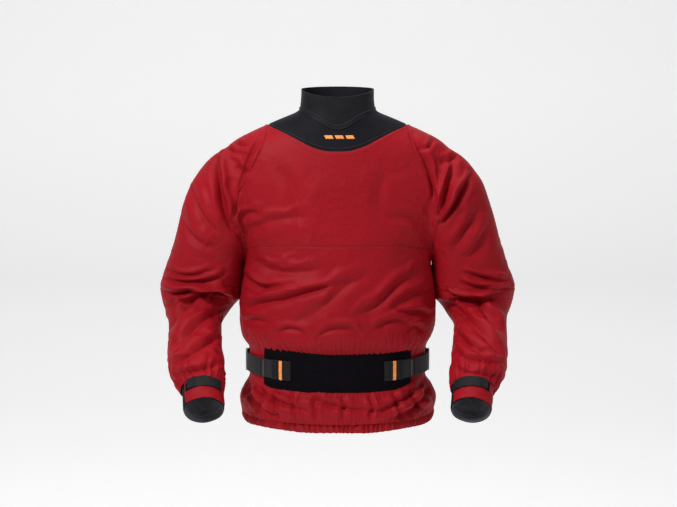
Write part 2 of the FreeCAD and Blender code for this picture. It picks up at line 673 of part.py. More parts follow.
tip_ribs = [
    sector(f"tip_rib{i}", f"{STRAP_RADIUS} + strap_thick * 0.9", "strap_thick * 0.1 + rib", "strap_width", strap_low,
           f"{FRONT_ANGLE} + strap_angle / 2 - 1.5 - {i} * tip_rib_step", "1.5")
    for i in range(int(size("tip_angle") / size("tip_rib_step")) + 1)
]
finish_pair(on_forearm(fuse("cuff_strap", strap_base, *tip_ribs)), "cuff_strap")

# ------------------------------------------------------------------ wrist seal inside the cuff

WRIST_BAND_RADIUS = "cuff_radius - neoprene - 2 * layer_gap - lining"
seal = turned("wrist_seal", [
    ("wrist_radius", "0"),
    ("wrist_radius + wrist_wall", "0"),
    ("wrist_radius + wrist_wall", "wrist_tube"),
    (WRIST_BAND_RADIUS, "wrist_tube + wrist_cone"),
    (WRIST_BAND_RADIUS, "wrist_tube + wrist_cone + wrist_band"),
    (f"{WRIST_BAND_RADIUS} - wrist_wall", "wrist_tube + wrist_cone + wrist_band"),
    (f"{WRIST_BAND_RADIUS} - wrist_wall", "wrist_tube + wrist_cone"),
    ("wrist_radius", "wrist_tube"),
])
finish_pair(on_forearm(seal, drop=f"{CUFF_FOOT} - wrist_inside"), "wrist_seal")

# ------------------------------------------------------------------ checks and export

doc.recompute()
for thing in doc.Objects:
    if "Invalid" in thing.State or "Error" in thing.State:
        raise RuntimeError(f"{thing.Name} failed: {thing.State}")
for thing in sub_parts:
    if thing.Shape.isNull() or not thing.Shape.isValid() or not thing.Shape.Solids:
        raise RuntimeError(f"{thing.Label} has no valid solid")

os.makedirs(PARTS_FOLDER, exist_ok=True)
for thing in sub_parts:
    thing.Shape.exportStep(os.path.join(PARTS_FOLDER, thing.Label + ".step"))
    bounds = thing.Shape.BoundBox
    print(f"{thing.Label:24s} {len(thing.Shape.Solids)} {thing.Shape.Volume / 1000:9.2f} cm3  "
          f"x {bounds.XMin:7.1f} {bounds.XMax:7.1f}  y {bounds.YMin:7.1f} {bounds.YMax:7.1f}  "
          f"z {bounds.ZMin:7.1f} {bounds.ZMax:7.1f}")
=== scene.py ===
"""Paddling top: its cloth, seals, belt and cuffs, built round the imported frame.

Lengths are in metres. The origin is the centre of the neck seal, +Z is up and -Y is the wearer's front. The
left side is the wearer's, on +X.
"""

import json
import math

import bmesh
import bpy
import numpy as np
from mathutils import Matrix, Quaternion, Vector
from mathutils.bvhtree import BVHTree
from mathutils.kdtree import KDTree


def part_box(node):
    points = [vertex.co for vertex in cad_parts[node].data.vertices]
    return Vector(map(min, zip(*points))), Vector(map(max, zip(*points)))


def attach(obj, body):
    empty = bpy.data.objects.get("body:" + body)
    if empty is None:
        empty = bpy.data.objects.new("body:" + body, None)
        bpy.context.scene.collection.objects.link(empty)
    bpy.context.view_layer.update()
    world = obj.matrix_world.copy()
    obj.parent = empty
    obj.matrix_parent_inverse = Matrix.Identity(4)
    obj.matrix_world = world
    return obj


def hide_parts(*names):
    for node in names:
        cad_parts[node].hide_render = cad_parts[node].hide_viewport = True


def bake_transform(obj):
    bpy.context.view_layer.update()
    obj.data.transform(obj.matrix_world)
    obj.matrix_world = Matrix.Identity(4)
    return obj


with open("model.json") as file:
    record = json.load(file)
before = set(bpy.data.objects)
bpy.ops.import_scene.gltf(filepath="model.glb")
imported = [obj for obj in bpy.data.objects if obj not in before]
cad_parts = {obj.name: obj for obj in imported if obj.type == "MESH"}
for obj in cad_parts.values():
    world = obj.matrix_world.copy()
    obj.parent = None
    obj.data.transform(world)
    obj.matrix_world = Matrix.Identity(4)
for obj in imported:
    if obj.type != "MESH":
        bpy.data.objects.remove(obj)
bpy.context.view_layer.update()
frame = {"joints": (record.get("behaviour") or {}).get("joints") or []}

bl_info = {
    "name": "Paddling Top",
    "version": (1, 0, 0),
    "blender": (4, 5, 0),
    "location": "View3D > Sidebar > Paddling Top",
    "description": "Builds the cloth, seals, belt and cuffs of a paddling top",
    "category": "Object",
}

SIDES = (("right", -1), ("left", 1))
JACKET = "jacket"
MM = 0.001


def low(node):
    """Lowest corner of a frame node at rest."""
    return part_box(node)[0]


def high(node):
    """Highest corner of a frame node at rest."""
    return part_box(node)[1]


def joint_place(name):
    """A joint's point at rest."""
    return Vector(next(entry["pos_m"] for entry in frame["joints"] if entry["name"] == name))


# ---------------------------------------------------------------- sizes and colours


def colour(name, description, value):
    """A colour that a user may change."""
    return bpy.props.FloatVectorProperty(
        name=name, description=description, subtype="COLOR", size=3, default=value, min=0, max=1)


def length(name, description, value):
    """A length that a user may change."""
    return bpy.props.FloatProperty(name=name, description=description, default=value, unit="LENGTH")


class PT_GarmentSettings(bpy.types.PropertyGroup):
    """Sizes and colours of the garment."""

    cell: length("Cell", "Size of a mesh cell before the last subdivision", 0.0046)
    cloth: length("Cloth", "Thickness of the outer cloth", 0.0008)
    fold_depth: bpy.props.FloatProperty(
        name="Fold depth", description="Multiplies the depth of every fold", default=1.0, min=0, max=2)
    red: colour("Red", "Outer cloth", (0.300, 0.0047, 0.0110))
    black: colour("Black", "Collar cloth", (0.0065, 0.006, 0.009))
    gasket: colour("Gasket", "Neck seal", (0.013, 0.013, 0.016))
    webbing: colour("Webbing", "Belt and straps", (0.017, 0.017, 0.019))
    # The lining colour is lighter than the knit's own grey, so that the shaded inside of each cuff comes out
    # bright: painted light.
    lining: colour("Lining", "Inside of the cuffs", (0.125, 0.126, 0.145))
    accent: colour("Accent", "Bars on the belt's ends and the mark", (0.92, 0.30, 0.06))


class PT_StageSettings(bpy.types.PropertyGroup):
    """Camera, light and floor."""

    elevation: bpy.props.FloatProperty(
        name="Elevation", description="Camera above the horizon", default=math.radians(10), subtype="ANGLE")
    distance: length("Distance", "From the camera to the garment", 3.2)
    lens: bpy.props.FloatProperty(name="Lens", description="Focal length in millimetres", default=82.4)
    backdrop: colour("Backdrop", "Floor and wall", (0.80, 0.80, 0.80))


# ---------------------------------------------------------------- shader maths


class Wire:
    """A shader socket that takes part in Python expressions."""

    def __init__(self, finish, socket):
        self.finish = finish
        self.socket = socket

    def math(self, operation, *values):
        """One Math node on these values."""
        return self.finish.node("ShaderNodeMath", {"operation": operation}, dict(enumerate(values)))

    def __add__(self, other):
        return self.math("ADD", self, other)

    def __radd__(self, other):
        return self.math("ADD", other, self)

    def __sub__(self, other):
        return self.math("SUBTRACT", self, other)

    def __rsub__(self, other):
        return self.math("SUBTRACT", other, self)

    def __mul__(self, other):
        return self.math("MULTIPLY", self, other)

    def __rmul__(self, other):
        return self.math("MULTIPLY", other, self)

    def wave(self, pitch):
        """A sine wave of this value, from -1 to 1."""
        return (self * (2 * math.pi / pitch)).math("SINE")

    def rise(self, start, end):
        """Rises smoothly from 0 to 1 between two values."""
        return self.finish.node(
            "ShaderNodeMapRange", {"interpolation_type": "SMOOTHSTEP"}, {0: self, 1: start, 2: end})


class Finish:
    """A material, by the nodes behind its surface."""

    def __init__(self, name, **surface):
        self.material = bpy.data.materials.new(name)
        self.material.use_nodes = True
        self.tree = self.material.node_tree
        self.surface = self.tree.nodes["Principled BSDF"]
        for socket, value in surface.items():
            self.feed(socket.replace("_", " "), value)

    def node(self, kind, settings=None, inputs=None, output=0):
        """Adds a node: its settings first, then the values or links of its sockets."""
        made = self.tree.nodes.new(kind)
        for key, value in (settings or {}).items():
            setattr(made, key, value)
        for key, value in (inputs or {}).items():
            self.connect(made.inputs[key], value)
        return Wire(self, made.outputs[output])

    def connect(self, socket, value):
        """Links or sets one socket."""
        if isinstance(value, Wire):
            self.tree.links.new(value.socket, socket)
        elif socket.type == "RGBA" and len(value) == 3:
            socket.default_value = (*value, 1)
        else:
            socket.default_value = value

    def feed(self, name, value):
        """Links or sets one of the surface's own sockets."""
        self.connect(self.surface.inputs[name], value)

    def place(self, flat=False):
        """Object coordinates in metres, or the flat coordinates of a strap."""
        return self.node("ShaderNodeTexCoord", output="UV" if flat else "Object")

    def axes(self, place):
        """The coordinates of a place."""
        split = self.node("ShaderNodeSeparateXYZ", {}, {0: place})
        return [Wire(self, socket) for socket in split.socket.node.outputs]

    def cloud(self, scale, detail):
        """Soft noise from 0 to 1."""
        return self.node("ShaderNodeTexNoise", {}, {"Vector": self.place(), "Scale": scale, "Detail": detail})

    def shades(self, share, dark, light):
        """Feeds the surface's colour with one between two colours."""
        self.feed("Base Color", self.mix(share, dark, light))

    def mix(self, share, first, second):
        """A colour between two colours."""
        return self.node("ShaderNodeMix", {"data_type": "RGBA"}, {0: share, 6: first, 7: second}, output=2)

    def bump(self, height, distance, strength=1.0):
        """Feeds a height into the surface's normal."""
        self.feed("Normal", self.node(
            "ShaderNodeBump", {}, {"Strength": strength, "Distance": distance, "Height": height}))


def darker(shade, share):
    """A colour at a share of its brightness."""
    return tuple(channel * share for channel in shade)


def nylon(name, shade):
    """Coated plain-weave nylon: fine crossed threads with faint painted shade between them, a slightly uneven
    dye, a low sheen.
    """
    finish = Finish(name, Specular_IOR_Level=0.11)
    x, y, z = finish.axes(finish.place())
    weave = (x + y * 0.7).wave(0.0011) * (z + y * 0.5).wave(0.0011)
    patches = finish.cloud(7.0, 3.0)
    slubs = finish.cloud(260.0, 2.0)
    # The weave's share lightens the raised threads and darkens the gaps between them: faint painted shade.
    # Patches and slubs are uneven dye.
    shade_share = (patches * 0.5 + slubs * 0.5 + weave * 0.08).rise(0.25, 0.75)
    finish.shades(shade_share, darker(shade, 0.80), darker(shade, 1.12))
    finish.feed("Roughness", 0.50 + slubs * 0.16)
    finish.bump(weave * 0.4 + slubs * 1.4, 0.0004, 0.5)
    return finish.material


def neoprene(name, shade, roughness=0.6):
    """Smooth-skin or knit-faced neoprene: matt, faintly mottled, with a very fine grain."""
    finish = Finish(name, Specular_IOR_Level=0.09)
    grain = finish.cloud(1500.0, 1.0)
    mottle = finish.cloud(22.0, 3.0)
    finish.shades((mottle * 0.7 + grain * 0.3).rise(0.3, 0.7), darker(shade, 0.8), darker(shade, 1.25))
    finish.feed("Roughness", roughness + grain * 0.15)
    finish.bump(grain + mottle * 0.6, 0.0003, 0.5)
    return finish.material


def loop_pile(name, shade):
    """Loop tape: a dense matt pile with a ragged grain, lighter on the loops' tops and darker between them,
    which is painted shade.
    """
    finish = Finish(name, Specular_IOR_Level=0.06)
    loops = finish.node("ShaderNodeTexVoronoi", {"feature": "F1"}, {"Vector": finish.place(), "Scale": 900.0})
    drift = finish.cloud(60.0, 3.0)
    # Colour follows the loops' bump, darker between the loops: painted shade, with random drift on top.
    finish.shades((loops + drift * 0.4).rise(0.2, 1.0), darker(shade, 1.3), darker(shade, 0.5))
    finish.feed("Roughness", 0.85 + drift * 0.1)
    finish.bump(1.0 - loops, 0.0008, 0.7)
    return finish.material


def woven_tape(name, shade, pitch=0.0016):
    """Polypropylene webbing: rows of slanted yarns across the tape, darker in the grooves between them, which
    is painted shade.
    """
    finish = Finish(name, Specular_IOR_Level=0.14)
    u, v, _ = finish.axes(finish.place(flat=True))
    rows = u.wave(pitch)
    slant = (v + u * 0.55).wave(pitch * 1.5)
    yarn_relief_and_shade = (rows * 0.5 + 0.5) * (slant * 0.35 + 0.65)
    worn = finish.cloud(35.0, 3.0)
    # Colour follows the yarns' relief, darker in the grooves between them: painted shade. The worn noise on
    # top is random wear.
    finish.shades((yarn_relief_and_shade + worn * 0.3).rise(0.1, 1.1), darker(shade, 0.45), darker(shade, 1.5))
    finish.feed("Roughness", 0.55 + worn * 0.2)
    finish.bump(yarn_relief_and_shade, 0.0006, 0.8)
    return finish.material


def moulded(name, shade, roughness=0.35, coat=0.0):
    """Moulded plastic or rubber with faint scuffs."""
    finish = Finish(name, Coat_Weight=coat, Coat_Roughness=0.3)
    scuffs = finish.cloud(140.0, 4.0)
    finish.shades(scuffs.rise(0.35, 0.7), darker(shade, 0.85), darker(shade, 1.15))
    finish.feed("Roughness", roughness + scuffs * 0.2)
    finish.bump(scuffs, 0.0002, 0.4)
    return finish.material


def make_finishes(settings):
    """Every material of the garment, by the record's slot."""
    return {
        "shell_cloth": nylon("red_nylon", settings.red),
        "yoke_cloth": neoprene("collar_stretch_cloth", settings.black, 0.55),
        "gasket": neoprene("neck_gasket", settings.gasket, 0.5),
        "band_neoprene": neoprene("cuff_neoprene", darker(settings.black, 1.2), 0.62),
        "lining": neoprene("cuff_knit_lining_with_painted_light", settings.lining, 0.75),
        "loop_neoprene": loop_pile("loop_pile", (0.0045, 0.0036, 0.0058)),
        "webbing": woven_tape("belt_webbing", settings.webbing),
        "strap_tab": woven_tape("cuff_strap", darker(settings.webbing, 0.55), 0.0012),
        "hook": loop_pile("hook_pad", (0.02, 0.02, 0.022)),
        "ring_plastic": moulded("ring_plastic", (0.30, 0.31, 0.33), 0.3, 0.2),
        "bar_orange": moulded("accent_rubber", settings.accent, 0.45),
        # The wrist seal takes the lining's colour, and its painted light with it.
        "latex": moulded("latex", darker(settings.lining, 0.95), 0.6),
        "tunnel_cloth": nylon("tunnel_taffeta", (0.018, 0.018, 0.022)),
        "thread": moulded("seam_thread", darker(settings.red, 0.62), 0.5),
        "dark_thread": moulded("dark_thread", (0.05, 0.05, 0.055), 0.5),
    }


FINISHES = {}


# ---------------------------------------------------------------- meshes


def add_mesh(name, points, faces, finish=None, flat_places=None):
    """A smooth-shaded mesh object, with flat coordinates in metres where they are given."""
    mesh = bpy.data.meshes.new(name)
    mesh.from_pydata([tuple(map(float, p)) for p in points], [], faces)
    if flat_places is not None:
        layer = mesh.uv_layers.new(name="flat")
        corners = np.empty(len(mesh.loops), np.int32)
        mesh.loops.foreach_get("vertex_index", corners)
        layer.data.foreach_set("uv", np.asarray(flat_places, np.float32)[corners].ravel())
    if finish:
        mesh.materials.append(FINISHES[finish])
    mesh.shade_smooth()
    piece = bpy.data.objects.new(name, mesh)
    bpy.context.scene.collection.objects.link(piece)
    return piece


def add_grid(name, finish, surface, columns, rows, closed, size):
    """A sheet through surface(u, v): u runs along it and v up it, both from 0 to 1; size is in metres."""
    u = np.arange(columns) / (columns if closed else columns - 1)
    v = np.arange(rows) / (rows - 1)
    uu, vv = np.meshgrid(u, v)
    points = np.stack(surface(uu.ravel(), vv.ravel()), axis=1)
    faces = [
        (row + i, row + (i + 1) % columns, row + columns + (i + 1) % columns, row + columns + i)
        for row in range(0, (rows - 1) * columns, columns)
        for i in range(columns if closed else columns - 1)
    ]
    flat = np.stack([uu.ravel() * size[0], vv.ravel() * size[1]], axis=1)
    return add_mesh(name, points, faces, finish, flat)


def use_modifier(piece, kind, **settings):
    """Adds a modifier and applies it."""
    modifier = piece.modifiers.new(kind.title(), kind)
    for key, value in settings.items():
        setattr(modifier, key, value)
    graph = bpy.context.evaluated_depsgraph_get()
    graph.update()
    mesh = bpy.data.meshes.new_from_object(piece.evaluated_get(graph))
    piece.modifiers.clear()
    old, piece.data = piece.data, mesh
    mesh.name = piece.name
    bpy.data.meshes.remove(old)
    return piece


def thicken(piece, depth, edge=0.0, segments=2):
    """Gives a sheet its thickness, inwards, and rounds its edges."""
    use_modifier(piece, "SOLIDIFY", thickness=depth, offset=-1)
    if edge:
        use_modifier(
            piece, "BEVEL", width=edge, segments=segments, limit_method="ANGLE", angle_limit=math.radians(50))


def change_faces(piece, change):
    """Changes a mesh's faces with a bmesh operation."""
    work = bmesh.new()
    work.from_mesh(piece.data)
    change(work, faces=work.faces)
    work.to_mesh(piece.data)
    work.free()


def points_of(mesh):
    """Vertex positions as an array."""
    data = np.empty(len(mesh.vertices) * 3, np.float32)
    mesh.vertices.foreach_get("co", data)
    return data.reshape(-1, 3).astype(float)


def normals_of(mesh):
    """Vertex normals as an array."""
    data = np.empty(len(mesh.vertices) * 3, np.float32)
    mesh.vertex_normals.foreach_get("vector", data)
    return data.reshape(-1, 3).astype(float)


def set_points(mesh, points):
    """Moves a mesh's vertices."""
    mesh.vertices.foreach_set("co", np.asarray(points, np.float32).ravel())
    mesh.update()


def copy_of(piece, name):
    """A separate copy of a piece."""
    other = piece.copy()
    other.data = piece.data.copy()
    other.name = other.data.name = name
    bpy.context.scene.collection.objects.link(other)
    return other


def join(pieces, name):
    """One object from several."""
    work = bmesh.new()
    for piece in pieces:
        work.from_mesh(piece.data)
    mesh = bpy.data.meshes.new(name)
    work.to_mesh(mesh)
    work.free()
    for material in pieces[0].data.materials:
        mesh.materials.append(material)
    for piece in pieces:
        bpy.data.objects.remove(piece)
    mesh.shade_smooth()
    result = bpy.data.objects.new(name, mesh)
    bpy.context.scene.collection.objects.link(result)
    return result


def bisect(piece, values, clear_below):
    """Cuts a mesh along the line where its points' values are zero; returns the work mesh's new edges."""
    mesh = piece.data
    rest = points_of(mesh)
    layer = mesh.attributes.get("rest") or mesh.attributes.new("rest", "FLOAT_VECTOR", "POINT")
    layer.data.foreach_set("vector", rest.astype(np.float32).ravel())
    values = np.where(np.abs(values) < 1e-7, 1e-7, values)
    set_points(mesh, np.column_stack([rest[:, 0], rest[:, 1], values]))
    work = bmesh.new()
    work.from_mesh(mesh)
    parts = work.verts[:] + work.edges[:] + work.faces[:]
    cut = bmesh.ops.bisect_plane(
        work, geom=parts, dist=0, plane_co=(0, 0, 0), plane_no=(0, 0, 1), clear_inner=clear_below)
    places = work.verts.layers.float_vector["rest"]
    lines = [
        [tuple(vert[places]) for vert in item.verts]
        for item in cut["geom_cut"] if isinstance(item, bmesh.types.BMEdge)
    ]
    work.to_mesh(mesh)
    work.free()
    data = np.empty(len(mesh.vertices) * 3, np.float32)
    mesh.attributes["rest"].data.foreach_get("vector", data)
    mesh.vertices.foreach_set("co", data)
    mesh.attributes.remove(mesh.attributes["rest"])
    mesh.update()
    return lines


def cut_by(piece, field, keep_above=True):
    """Trims a mesh along the line where a field of its points is zero."""
    values = field(points_of(piece.data))
    bisect(piece, values if keep_above else -values, True)
    return piece


def contour(piece, field):
    """The lines on a mesh where a field is zero, each a run of points."""
    other = copy_of(piece, "contour")
    lines = bisect(other, field(points_of(other.data)), False)
    bpy.data.objects.remove(other)
    ends = {}
    for a, b in lines:
        ends.setdefault(a, []).append(b)
        ends.setdefault(b, []).append(a)
    runs = []
    while ends:
        start = next((p for p, near in ends.items() if len(near) == 1), next(iter(ends)))
        run = [start]
        while ends.get(run[-1]):
            here = run[-1]
            there = ends[here].pop()
            ends[there].remove(here)
            if not ends[here]:
                del ends[here]
            run.append(there)
        ends.pop(run[-1], None)
        if len(run) > 4:
            runs.append(np.array(run))
    return runs


# ---------------------------------------------------------------- soft noise


def lattice_noise(points, scale, seed):
    """Smooth noise from -1 to 1 on a lattice whose cells are 1 / scale across."""
    table = np.random.RandomState(seed).rand(32, 32, 32) * 2 - 1
    grid = np.asarray(points) * scale
    base = np.floor(grid).astype(int)
    part = grid - base
    part = part * part * (3 - 2 * part)
    total = np.zeros(len(grid))
    for corner in range(8):
        step = np.array([corner & 1, corner >> 1 & 1, corner >> 2 & 1])
        weight = np.prod(np.where(step, part, 1 - part), axis=1)
        cell = (base + step) % 32
        total += weight * table[cell[:, 0], cell[:, 1], cell[:, 2]]
    return total


def ease(values, start, end):
    """Rises smoothly from 0 to 1 between two values."""
    t = np.clip((np.asarray(values) - start) / (end - start), 0, 1)
    return t * t * (3 - 2 * t)


# ---------------------------------------------------------------- the garment's form

WAIST_FOOT, WAIST_TOP = low("waistband").z, high("waistband").z
HEM_FOOT, HEM_TOP = low("hem_casing").z, high("hem_casing").z
WAIST_X, WAIST_Y = high("waistband").x, high("waistband").y
ELBOW = joint_place("left_elbow")
FOREARM = Quaternion((0, 0, 1), -math.radians(7)) @ Quaternion((1, 0, 0), -math.radians(54))
DOWN = FOREARM @ Vector((0, 0, -1))
SHOULDER_EDGE = 0.141  # half width of the collar's edge
COLLAR_DEPTH = 0.092

# level rings of the body: height, half width, half depth
BODY_LEVELS = (
    (0.030, 0.0730, 0.0690),
    (0.000, 0.0750, 0.0695),
    (-0.008, 0.0830, 0.0700),
    (-0.014, 0.0970, 0.0708),
    (-0.022, 0.1170, 0.0722),
    (-0.032, 0.1400, 0.0745),
    (-0.046, 0.1720, 0.0800),
    (-0.068, 0.2120, 0.0885),
    (-0.100, 0.2340, 0.0985),
    (-0.160, 0.2330, 0.1130),
    (-0.220, 0.2120, 0.1220),
    (-0.285, 0.1920, 0.1280),
    (-0.340, 0.1960, 0.1310),
    (-0.400, 0.2030, 0.1345),
    (-0.448, 0.2030, 0.1335),
    (-0.472, 0.1960, 0.1280),
    (-0.488, 0.1850, 0.1170),
    (-0.505, 0.1835, 0.1155),
    (-0.545, 0.1830, 0.1150),
    (-0.562, 0.1850, 0.1165),
    (-0.578, 0.1960, 0.1240),
    (-0.602, 0.2060, 0.1300),
    (-0.624, 0.2010, 0.1265),
    (-0.660, 0.1990, 0.1245),
)

# slanted rings of the left upper sleeve: outer x and z, inner x and z, half depth, y of the centre
ARM_RINGS = (
    (0.150, -0.056, 0.150, -0.270, 0.058, 0.000),
    (0.194, -0.070, 0.184, -0.284, 0.068, 0.000),
    (0.250, -0.096, 0.192, -0.300, 0.074, 0.002),
    (0.295, -0.148, 0.195, -0.316, 0.076, 0.005),
    (0.318, -0.208, 0.1955, -0.334, 0.075, 0.010),
    (0.335, -0.266, 0.1965, -0.354, 0.073, 0.014),
    (0.353, -0.322, 0.1980, -0.376, 0.073, 0.018),
    (0.371, -0.370, 0.2010, -0.398, 0.075, 0.022),
)

# rings of the left forearm: how far down from the elbow, half width, half depth, how far out from the axis
FOREARM_RINGS = (
    (0.050, 0.0560, 0.0600, 0.0050),
    (0.080, 0.0530, 0.0560, 0.0090),
    (0.130, 0.0545, 0.0560, 0.0110),
    (0.175, 0.0560, 0.0560, 0.0105),
    (0.205, 0.0545, 0.0540, 0.0080),
    (0.226, 0.0500, 0.0490, 0.0040),
    (0.243, 0.0445, 0.0445, 0.0010),
    (0.262, 0.0425, 0.0425, 0.0000),
)
SLEEVE_END = 0.246  # how far down from the elbow the sleeve's cloth ends


def smooth_rows(table, steps):
    """Smooth rows between the rows of a table."""
    rows = np.array(table, float)
    out = []
    for i in range(len(rows) - 1):
        before, start, end, after = rows[max(i - 1, 0)], rows[i], rows[i + 1], rows[min(i + 2, len(rows) - 1)]
        for step in range(steps):
            t = step / steps
            straight = 2 * start + (end - before) * t
            bend = (2 * before - 5 * start + 4 * end - after) * t * t
            out.append(0.5 * (straight + bend + (3 * start - before - 3 * end + after) * t ** 3))
    return out + [rows[-1]]


def closed_loft(name, rings, count=96):
    """A closed mesh through rings of (centre, half width, half depth, turn)."""
    points, faces = [], []
    for centre, half_x, half_y, turn in rings:
        for k in range(count):
            angle = 2 * math.pi * k / count
            across = Vector((half_x * math.cos(angle), half_y * math.sin(angle), 0))
            points.append(Vector(centre) + turn @ across)
    for i in range(len(rings) - 1):
        for k in range(count):
            a, b = i * count + k, i * count + (k + 1) % count
            faces.append((a, b, b + count, a + count))
    last = (len(rings) - 1) * count
    faces += [tuple(range(count))[::-1], tuple(range(last, last + count))]
    piece = add_mesh(name, points, faces)
    change_faces(piece, bmesh.ops.recalc_face_normals)
    return piece


def arm_rings():
    """The left sleeve's rings from inside the shoulder to inside the cuff."""
    rings = []
    for out_x, out_z, in_x, in_z, depth, back in smooth_rows(ARM_RINGS, 3):
        half = math.hypot(out_x - in_x, out_z - in_z) / 2
        turn = Quaternion((0, 1, 0), math.atan2(in_z - out_z, out_x - in_x))
        rings.append((Vector(((out_x + in_x) / 2, back, (out_z + in_z) / 2)), half, depth, turn))
    down = smooth_rows(FOREARM_RINGS, 3)
    first = rings[-1]
    last = (ELBOW + DOWN * down[0][0] + Vector((down[0][3], 0, 0)), down[0][1], down[0][2], FOREARM)
    full = (0.076, 0.074)
    for step in range(1, 6):
        t = step / 6
        centre = first[0] * (1 - t) ** 2 + ELBOW * (2 * t * (1 - t)) + last[0] * t ** 2
        halves = [
            first[i] * (1 - t) + last[i] * t + 4 * t * (1 - t) * (full[i - 1] - (first[i] + last[i]) / 2)
            for i in (1, 2)
        ]
        rings.append((centre, *halves, first[3].slerp(last[3], t)))
    return rings + [(ELBOW + DOWN * d + Vector((out, 0, 0)), a, b, FOREARM) for d, a, b, out in down]


def mirror(v, sign):
    """A point or direction of the left side, on the side of the sign."""
    return Vector((sign * v[0], v[1], v[2]))


def mirrored(rings):
    """The same rings on the right side."""
    return [(mirror(centre, -1), a, b, Quaternion((turn.w, turn.x, -turn.y, -turn.z)))
            for centre, a, b, turn in rings]


def spread(z):
    """How far the sleeves are held away from the body while the skin is made."""
    return 0.016 * ease(-np.asarray(z), 0.285, 0.340)


# height and half width along the raglan seam, and below it along the line between body and sleeve
RAGLAN_SEAM = (
    (-0.500, 0.214), (-0.420, 0.212), (-0.370, 0.209), (-0.340, 0.206), (-0.310, 0.199), (-0.290, 0.191),
    (-0.245, 0.198), (-0.215, 0.206), (-0.165, 0.197), (-0.130, 0.178), (-0.075, 0.152), (-0.033, 0.141),
    (0.000, 0.141),
)


def raglan(z):
    """Half width of the raglan seam at a height."""
    return np.interp(z, *zip(*RAGLAN_SEAM))


# ---------------------------------------------------------------- folds

# Creases of the front, in millimetres as seen from the front: (half width, depth, lean, points of its line).
# A positive lean raises the cloth on the upper or outer side of the line.
FRONT_CREASES = (
    # chest and raglan seams
    (9, 5.0, 0.6, ((148, -52), (166, -78), (182, -118), (192, -165), (193, -205))),
    (7, 3.0, 0.2, ((-148, -50), (-170, -80), (-186, -122), (-196, -168))),
    (16, 3.2, 0.3, ((-186, -250), (-150, -225), (-110, -212), (-60, -205))),
    (14, 2.6, -0.3, ((180, -232), (150, -215), (104, -204))),
    (22, 2.4, 0.1, ((-120, -110), (-90, -150), (-78, -200), (-80, -240))),
    (22, 2.0, -0.1, ((96, -112), (84, -160), (88, -214))),
    (12, 2.6, 0.3, ((-196, -214), (-176, -205), (-150, -207))),
    (10, 2.6, 0.4, ((-206, -112), (-190, -122), (-176, -118))),
    # blouse: smile folds, side creases and the arches over the belt
    (13, 6.5, 0.7, ((-186, -404), (-150, -386), (-105, -372), (-50, -352), (22, -336))),
    (12, 5.0, 0.6, ((-196, -340), (-172, -350), (-140, -354), (-88, -342))),
    (14, 4.5, 0.5, ((30, -404), (66, -392), (100, -366), (128, -340), (170, -318))),
    (16, 4.0, 0.3, ((-176, -300), (-130, -318), (-80, -318), (-30, -308))),
    (18, 3.5, 0.4, ((60, -322), (20, -342), (-40, -392), (-90, -420))),
    (12, 4.0, 0.6, ((74, -434), (98, -420), (124, -418), (148, -432))),
    (11, 4.0, 0.6, ((-40, -446), (-14, -432), (22, -430), (44, -444))),
    (11, 3.6, 0.6, ((-128, -450), (-104, -434), (-76, -436), (-60, -450))),
    (12, 4.5, 0.5, ((190, -420), (172, -408), (150, -406), (120, -400))),
    (12, 3.6, 0.4, ((-192, -436), (-168, -424), (-140, -424))),
    (14, 3.4, 0.4, ((194, -372), (168, -366), (130, -378), (96, -404))),
    (10, 3.0, 0.2, ((176, -452), (160, -436), (138, -446))),
    # skirt: folds that fan out from the belt's ends
    (9, 4.0, 0.2, ((-150, -568), (-156, -590), (-168, -622))),
    (9, 3.6, -0.2, ((-136, -568), (-128, -592), (-122, -624))),
    (10, 4.2, 0.2, ((-176, -566), (-190, -586), (-204, -612))),
    (9, 3.2, 0.2, ((-96, -568), (-92, -590), (-84, -620))),
    (10, 3.4, -0.2, ((-40, -570), (-46, -594), (-42, -622))),
    (9, 3.4, 0.2, ((10, -570), (14, -592), (8, -622))),
    (9, 3.8, 0.2, ((64, -568), (70, -594), (66, -624))),
    (9, 4.0, -0.2, ((112, -568), (122, -590), (130, -622))),
    (10, 4.2, 0.2, ((146, -566), (158, -588), (176, -616))),
    (9, 4.0, 0.2, ((172, -566), (188, -582), (204, -606))),
    (12, 5.0, 0.6, ((-172, -566), (-140, -582), (-100, -594), (-52, -604))),
    (11, 4.5, 0.5, ((-186, -574), (-172, -592), (-150, -610), (-116, -620))),
    (11, 4.0, 0.5, ((-60, -572), (-20, -588), (30, -598), (84, -600))),
    (12, 5.0, 0.6, ((58, -608), (100, -598), (140, -584), (174, -566))),
    (11, 4.5, 0.5, ((108, -622), (150, -610), (176, -592), (192, -574))),
)

# Creases of the sleeves' front, in the same form.
RIGHT_SLEEVE_CREASES = (
    (12, 10.0, 0.8, ((-246, -84), (-244, -120), (-236, -160), (-226, -205), (-214, -240))),
    (9, 4.0, 0.3, ((-204, -190), (-212, -214), (-206, -240), (-196, -262))),
    (8, 3.0, 0.2, ((-214, -60), (-200, -72), (-180, -70))),
    (8, 2.6, 0.2, ((-236, -70), (-216, -84), (-190, -86))),
    (16, 4.0, 0.3, ((-300, -150), (-286, -190), (-262, -226), (-238, -250))),
    (15, 3.6, 0.3, ((-322, -214), (-304, -246), (-276, -270), (-246, -282))),
    (9, 4.5, 0.4, ((-352, -330), (-322, -338), (-284, -334), (-246, -322))),
    (9, 5.0, 0.5, ((-360, -352), (-326, -352), (-290, -350), (-252, -342), (-226, -330))),
    (10, 8.0, 1.2, ((-368, -378), (-336, -378), (-300, -370), (-262, -376), (-232, -384), (-224, -396))),
    (11, 7.0, 0.8, ((-342, -446), (-322, -412), (-290, -384), (-250, -372), (-232, -388))),
    (11, 4.5, 0.5, ((-352, -408), (-330, -396), (-306, -392))),
    (12, 5.0, 0.5, ((-334, -470), (-306, -446), (-272, -424), (-240, -412))),
    (11, 4.6, 0.4, ((-322, -500), (-296, -478), (-262, -462), (-236, -456))),
    (8, 3.4, 0.3, ((-326, -516), (-298, -506), (-266, -500), (-240, -498))),
)
